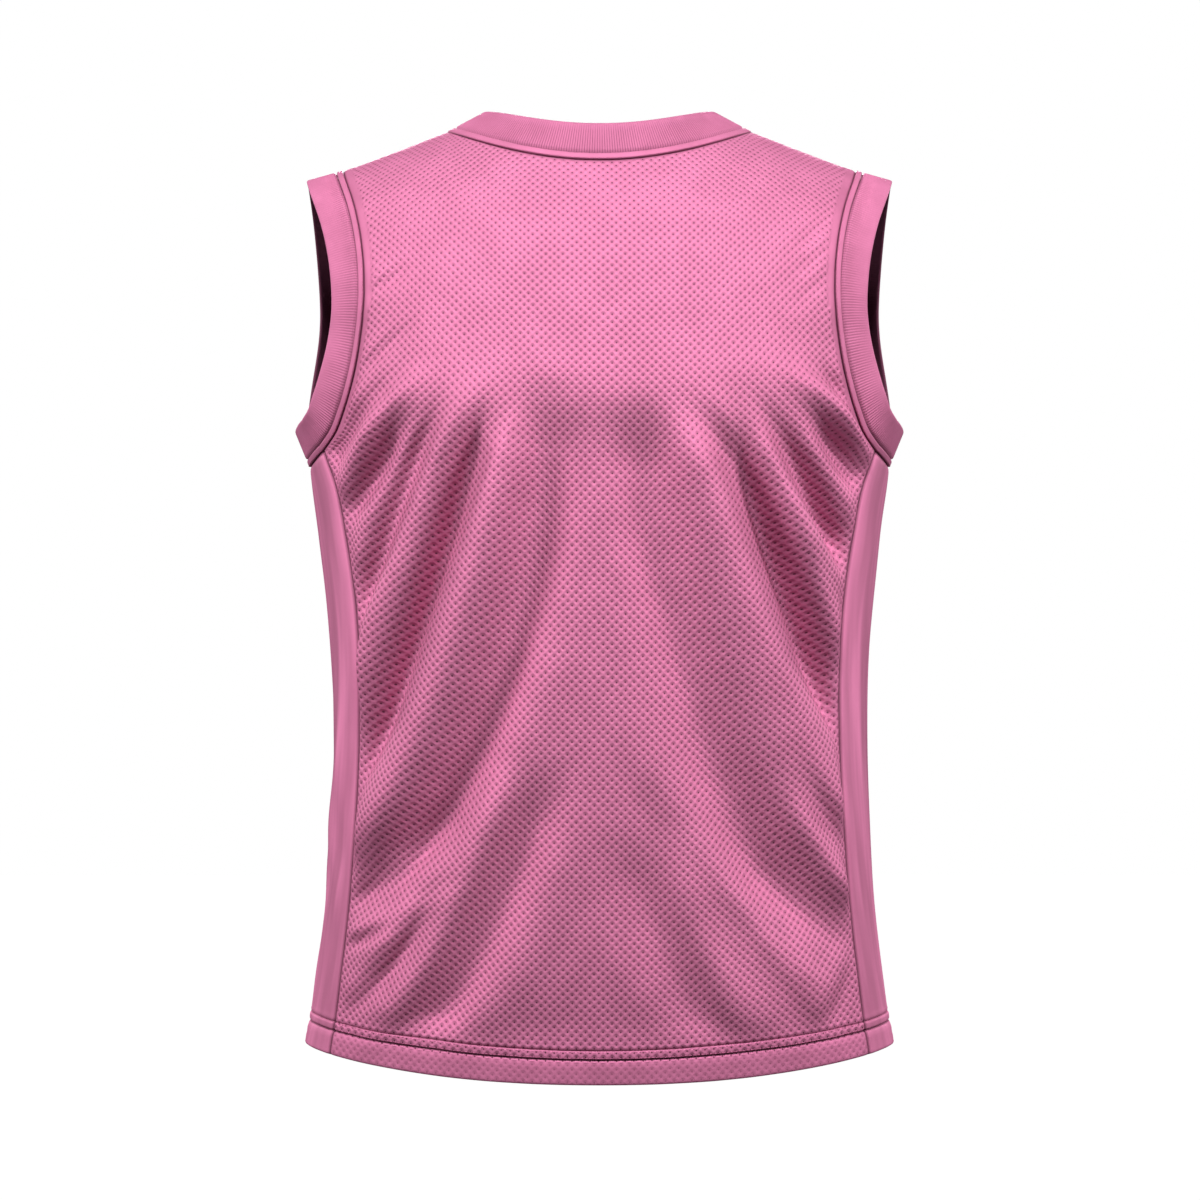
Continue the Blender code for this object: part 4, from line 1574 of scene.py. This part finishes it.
@dataclass
class Jersey:
    """The whole garment."""

    form: BodyForm
    wardrobe: Wardrobe
    stitching: Stitching = Stitching()
    neck_tape: float = 5.5
    neck_rib: float = 26.0
    neck_lift: float = math.radians(7.0)
    armhole_tape: float = 4.5
    armhole_rib: float = 23.0
    shoulder_lift: float = math.radians(4.0)
    shoulder_lift_reach: float = 60.0
    underarm_lift: float = math.radians(21.0)
    underarm_lift_reach: float = 110.0
    rib_cloth: float = 2.2
    rib_columns: int = 16
    rib_seam: float = 0.1
    rib_fold: float = 0.08
    rib_edge: float = 0.35
    rib_sink: float = 1.1
    rib_rise: float = 1.8
    tape_cloth: float = 2.2
    tape_columns: int = 10
    tape_rise: float = 1.2
    tape_sink: float = 0.4
    tape_power: int = 6
    tape_tuck: float = 0.25
    band_gap: float = 0.1
    neck_rib_pitch: float = 1.95
    armhole_rib_pitch: float = 2.15
    rib_depth: float = 0.6
    points_a_rib: int = 4
    hem_rows: tuple[float, float] = (19.2, 23.2)
    unsewn_columns: int = 2
    pieces: list[bpy.types.Object] = field(default_factory=list)

    def keep(self, piece: bpy.types.Object, *nodes: str) -> bpy.types.Object:
        """Rides a piece on the body, stands it for its nodes, and reports it."""
        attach(piece, "root")
        if nodes:
            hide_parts(*nodes)
        self.pieces.append(piece)
        LOG.info("%s: %d faces", piece.name, len(piece.data.polygons))
        return piece

    def build(self) -> None:
        """Builds every piece."""
        back_folds = FoldField(BACK_CREASES, Ripple(7), blade_rise=7.0, swells=BACK_SWELLS)
        front_folds = FoldField(FRONT_CREASES, Ripple(19), blade_rise=2.0, swells=FRONT_SWELLS)
        back = Panel(self.form, Half.BACK, back_folds)
        front = Panel(self.form, Half.FRONT, front_folds, columns=170)
        for panel in (back, front):
            cloth = self.keep(panel.build(self.wardrobe), panel.node)
            sewing = self.build_hem_stitching(panel)
            declare_cloth(panel.base, body=panel.underarm_row + 1)
        for side in Side:
            under = SidePanel(self.form, side)
            self.keep(under.build(self.wardrobe, back), under.node)
            self.build_armhole(side, back, front, under)
        self.build_neck(back, front)

    def tape_profile(self, share: Array) -> Array:
        """The tape's face: gently rounded, with its edges turned under."""
        return self.tape_rise * (1 - np.abs(2 * share - 1) ** self.tape_power) - self.tape_sink

    def rib_profile(self, share: Array) -> Array:
        """The rib's face: sunk at the seam, full across, and rounded at the folded edge."""
        seam = smooth_step(share / self.rib_seam)
        turned = np.clip((share - (1 - self.rib_fold)) / self.rib_fold, 0, 1)
        fold = np.sqrt(np.clip(1 - turned**2, 0, 1))
        return -self.rib_sink + self.rib_rise * seam * (self.rib_edge + (1 - self.rib_edge) * fold)

    def build_bands(self, loop: SeamLoop, lifts: Array, trim: Trim) -> None:
        """Builds the tape, its stitches and the rib beside one seam.

        Args:
            loop: The seam.
            lifts: Angle of the bands at each point.
            trim: The opening's tape, rib and stitching.
        """
        strip = Band(
            trim.tape,
            loop,
            lifts,
            start=-self.tape_tuck,
            width=trim.tape_width + (self.tape_tuck - self.band_gap),
            profile=self.tape_profile,
            thickness=self.tape_cloth,
            across=self.tape_columns,
        )
        tape = strip.build(self.wardrobe, self.wardrobe.plain, "pink_plain_knit")
        self.keep(tape, trim.tape)
        thread = self.band_stitching(trim.stitching, strip, trim.sewn_at)
        band = Band(
            trim.rib,
            loop,
            lifts,
            start=trim.tape_width + self.band_gap,
            width=trim.rib_width,
            profile=self.rib_profile,
            thickness=self.rib_cloth,
            across=self.rib_columns,
            rib_pitch=trim.pitch,
            rib_depth=self.rib_depth,
            rib_fade=trim.fade,
            near_painted_shade=0.02,
            far_painted_shade=0.001,
        )
        cloth = self.keep(band.build(self.wardrobe, trim.finish, "pink_rib_knit"), trim.rib)
        declare_cloth(band.base, closed=True)

    def band_stitching(
        self, name: str, strip: Band, places: Sequence[float]
    ) -> bpy.types.Object:
        """Sews rows of stitches on a tape, at shares of its width."""
        _, face = strip.directions()
        rows = []
        for place in places:
            share = np.array([place])
            far = np.full((len(strip.loop.points), 1), strip.start + place * strip.width)
            line = strip.place(far, np.broadcast_to(strip.profile(share), far.shape))[:, 0]
            rows.append((line, face, True))
        return self.keep(self.stitching.build(name, rows, self.wardrobe))

    def build_armhole(self, side: Side, back: Panel, front: Panel, under: SidePanel) -> None:
        """Builds one armhole's tape, rib and stitching.

        Args:
            side: Which armhole.
            back: The back panel.
            front: The front panel.
            under: The side panel.
        """
        edges = (back.armhole_edge(side), under.top_edge(), front.armhole_edge(side))
        parts = []
        for k in (0, 1):
            behind, below, before = (edge[k] for edge in edges)
            parts.append(np.concatenate([behind[::-1], below[1:-1], before[:-1]]))
        if side is Side.RIGHT:
            parts = [part[::-1] for part in parts]
        loop = SeamLoop.through(parts[0], parts[1], self.armhole_rib_pitch / self.points_a_rib)
        z = loop.points[:, 2]
        reach = self.underarm_lift_reach
        top = np.clip((z - z.max()) / self.shoulder_lift_reach + 1, 0, 1)
        low = smooth_step((self.form.underarm_z + reach - z) / reach)
        lifts = self.shoulder_lift * top + self.underarm_lift * low
        name = side.name.lower()
        trim = Trim(
            tape="armhole_tape_" + name,
            tape_width=self.armhole_tape,
            rib="armhole_rib_" + name,
            rib_width=self.armhole_rib,
            pitch=self.armhole_rib_pitch,
            fade=0.25,
            stitching="armhole_stitching_" + name,
            sewn_at=(0.16,),
            finish=self.wardrobe.armhole_rib,
        )
        self.build_bands(loop, lifts, trim)

    def build_neck(self, back: Panel, front: Panel) -> None:
        """Builds the neck's tape, rib collar and stitching.

        Args:
            back: The back panel.
            front: The front panel.
        """
        edges = (back.neck_edge(), front.neck_edge())
        parts = [np.concatenate([edges[0][k][::-1], edges[1][k][1:-1]]) for k in (0, 1)]
        loop = SeamLoop.through(parts[0], parts[1], self.neck_rib_pitch / self.points_a_rib)
        lifts = np.full(len(loop.points), self.neck_lift)
        trim = Trim(
            tape="neck_tape",
            tape_width=self.neck_tape,
            rib="neck_rib",
            rib_width=self.neck_rib,
            pitch=self.neck_rib_pitch,
            fade=0.8,
            stitching="neck_stitching",
            sewn_at=(0.12, 0.88),
            finish=self.wardrobe.neck_rib,
        )
        self.build_bands(loop, lifts, trim)

    def build_hem_stitching(self, panel: Panel) -> bpy.types.Object:
        """Sews the twin-needle rows on a panel's hem."""
        rows = []
        heights, _, _ = panel.levels()
        up = heights - heights[0]
        for height in self.hem_rows:
            row = int(np.argmin(np.abs(up - height)))
            sewn = slice(self.unsewn_columns, -self.unsewn_columns)
            rows.append((panel.outer[row, sewn], panel.normals[row, sewn], False))
        name = panel.half.name.lower() + "_hem_stitching"
        return self.keep(self.stitching.build(name, rows, self.wardrobe))


@dataclass(frozen=True)
class Studio:
    """The pale floor, the white surroundings, the lights and the camera."""

    frame_px: float = 1200.0
    mm_a_pixel: float = 0.74
    distance: float = 3500.0
    sensor: float = 36.0
    centre_z: float = -346.0
    centre_x: float = 0.4
    floor_z: float = -2.3
    floor_size: float = 60.0
    floor_grey: float = 0.25
    floor_roughness: float = 0.9
    fill: float = 0.05
    light_distance: float = 3.6
    lit_z: float = -0.35
    clip_end: float = 100.0

    def build(self) -> None:
        """Builds the studio round the jersey."""
        self.surroundings()
        self.floor()
        self.lights()
        self.camera()

    def surroundings(self) -> None:
        """White to the camera, and a low soft fill to the cloth."""
        world = bpy.data.worlds.new("white_room")
        world.use_nodes = True
        bpy.context.scene.world = world
        tree = world.node_tree
        w = Wiring(tree)
        path = w.node("ShaderNodeLightPath")
        back = tree.nodes["Background"]
        back.inputs["Color"].default_value = WHITE
        strength = w.node("ShaderNodeMapRange")
        w.join(path.outputs["Is Camera Ray"], strength.inputs["Value"])
        strength.inputs["To Min"].default_value = self.fill
        strength.inputs["To Max"].default_value = 1.0
        w.join(strength.outputs["Result"], back.inputs["Strength"])

    def floor(self) -> None:
        """A plain pale floor that stays white to the camera."""
        bpy.ops.mesh.primitive_plane_add(size=self.floor_size, location=(0.0, 0.0, self.floor_z))
        plane = bpy.context.object
        plane.name = "studio_floor"
        pale = bpy.data.materials.new("pale_floor")
        pale.use_nodes = True
        w = Wiring(pale.node_tree)
        shader = pale.node_tree.nodes["Principled BSDF"]
        grey = self.floor_grey
        shader.inputs["Base Color"].default_value = (grey, grey, grey, 1.0)
        shader.inputs["Roughness"].default_value = self.floor_roughness
        path = w.node("ShaderNodeLightPath")
        shader.inputs["Emission Color"].default_value = WHITE
        w.join(path.outputs["Is Camera Ray"], shader.inputs["Emission Strength"])
        plane.data.materials.append(pale)

    def lights(self) -> None:
        """Soft boxes above the camera and on both sides of it, and weaker ones behind."""
        middle = Vector((0.0, 0.0, self.lit_z))
        for box in SOFT_BOXES:
            flat, up = math.radians(box.turn), math.radians(box.height)
            level = math.cos(up)
            aim = Vector((-math.sin(flat) * level, math.cos(flat) * level, -math.sin(up)))
            light = bpy.data.lights.new(box.name, "AREA")
            light.shape = "DISK"
            light.size = box.size
            light.energy = box.power
            lamp = bpy.data.objects.new(box.name, light)
            bpy.context.scene.collection.objects.link(lamp)
            lamp.location = middle - aim * self.light_distance
            lamp.rotation_euler = aim.to_track_quat("-Z", "Y").to_euler()

    def camera(self) -> None:
        """A long lens, level, at the middle of the garment."""
        lens = bpy.data.cameras.new("camera")
        lens.sensor_width = self.sensor
        lens.lens = self.sensor * self.distance / (self.frame_px * self.mm_a_pixel)
        lens.clip_end = self.clip_end
        eye = bpy.data.objects.new("camera", lens)
        bpy.context.scene.collection.objects.link(eye)
        eye.location = (self.centre_x * MM, -self.distance * MM, self.centre_z * MM)
        eye.rotation_euler = (math.pi / 2, 0.0, 0.0)
        bpy.context.scene.camera = eye
        bpy.context.scene.view_settings.view_transform = "Standard"
        bpy.context.scene.view_settings.look = "None"


def main() -> None:
    """Builds the jersey, then the studio."""
    logging.basicConfig(level=logging.INFO, format="%(name)s: %(message)s")
    jersey = Jersey(BodyForm(), Wardrobe())
    jersey.build()
    Studio().build()
    LOG.info("%d pieces", len(jersey.pieces))


if __name__ == "__main__":
    main()
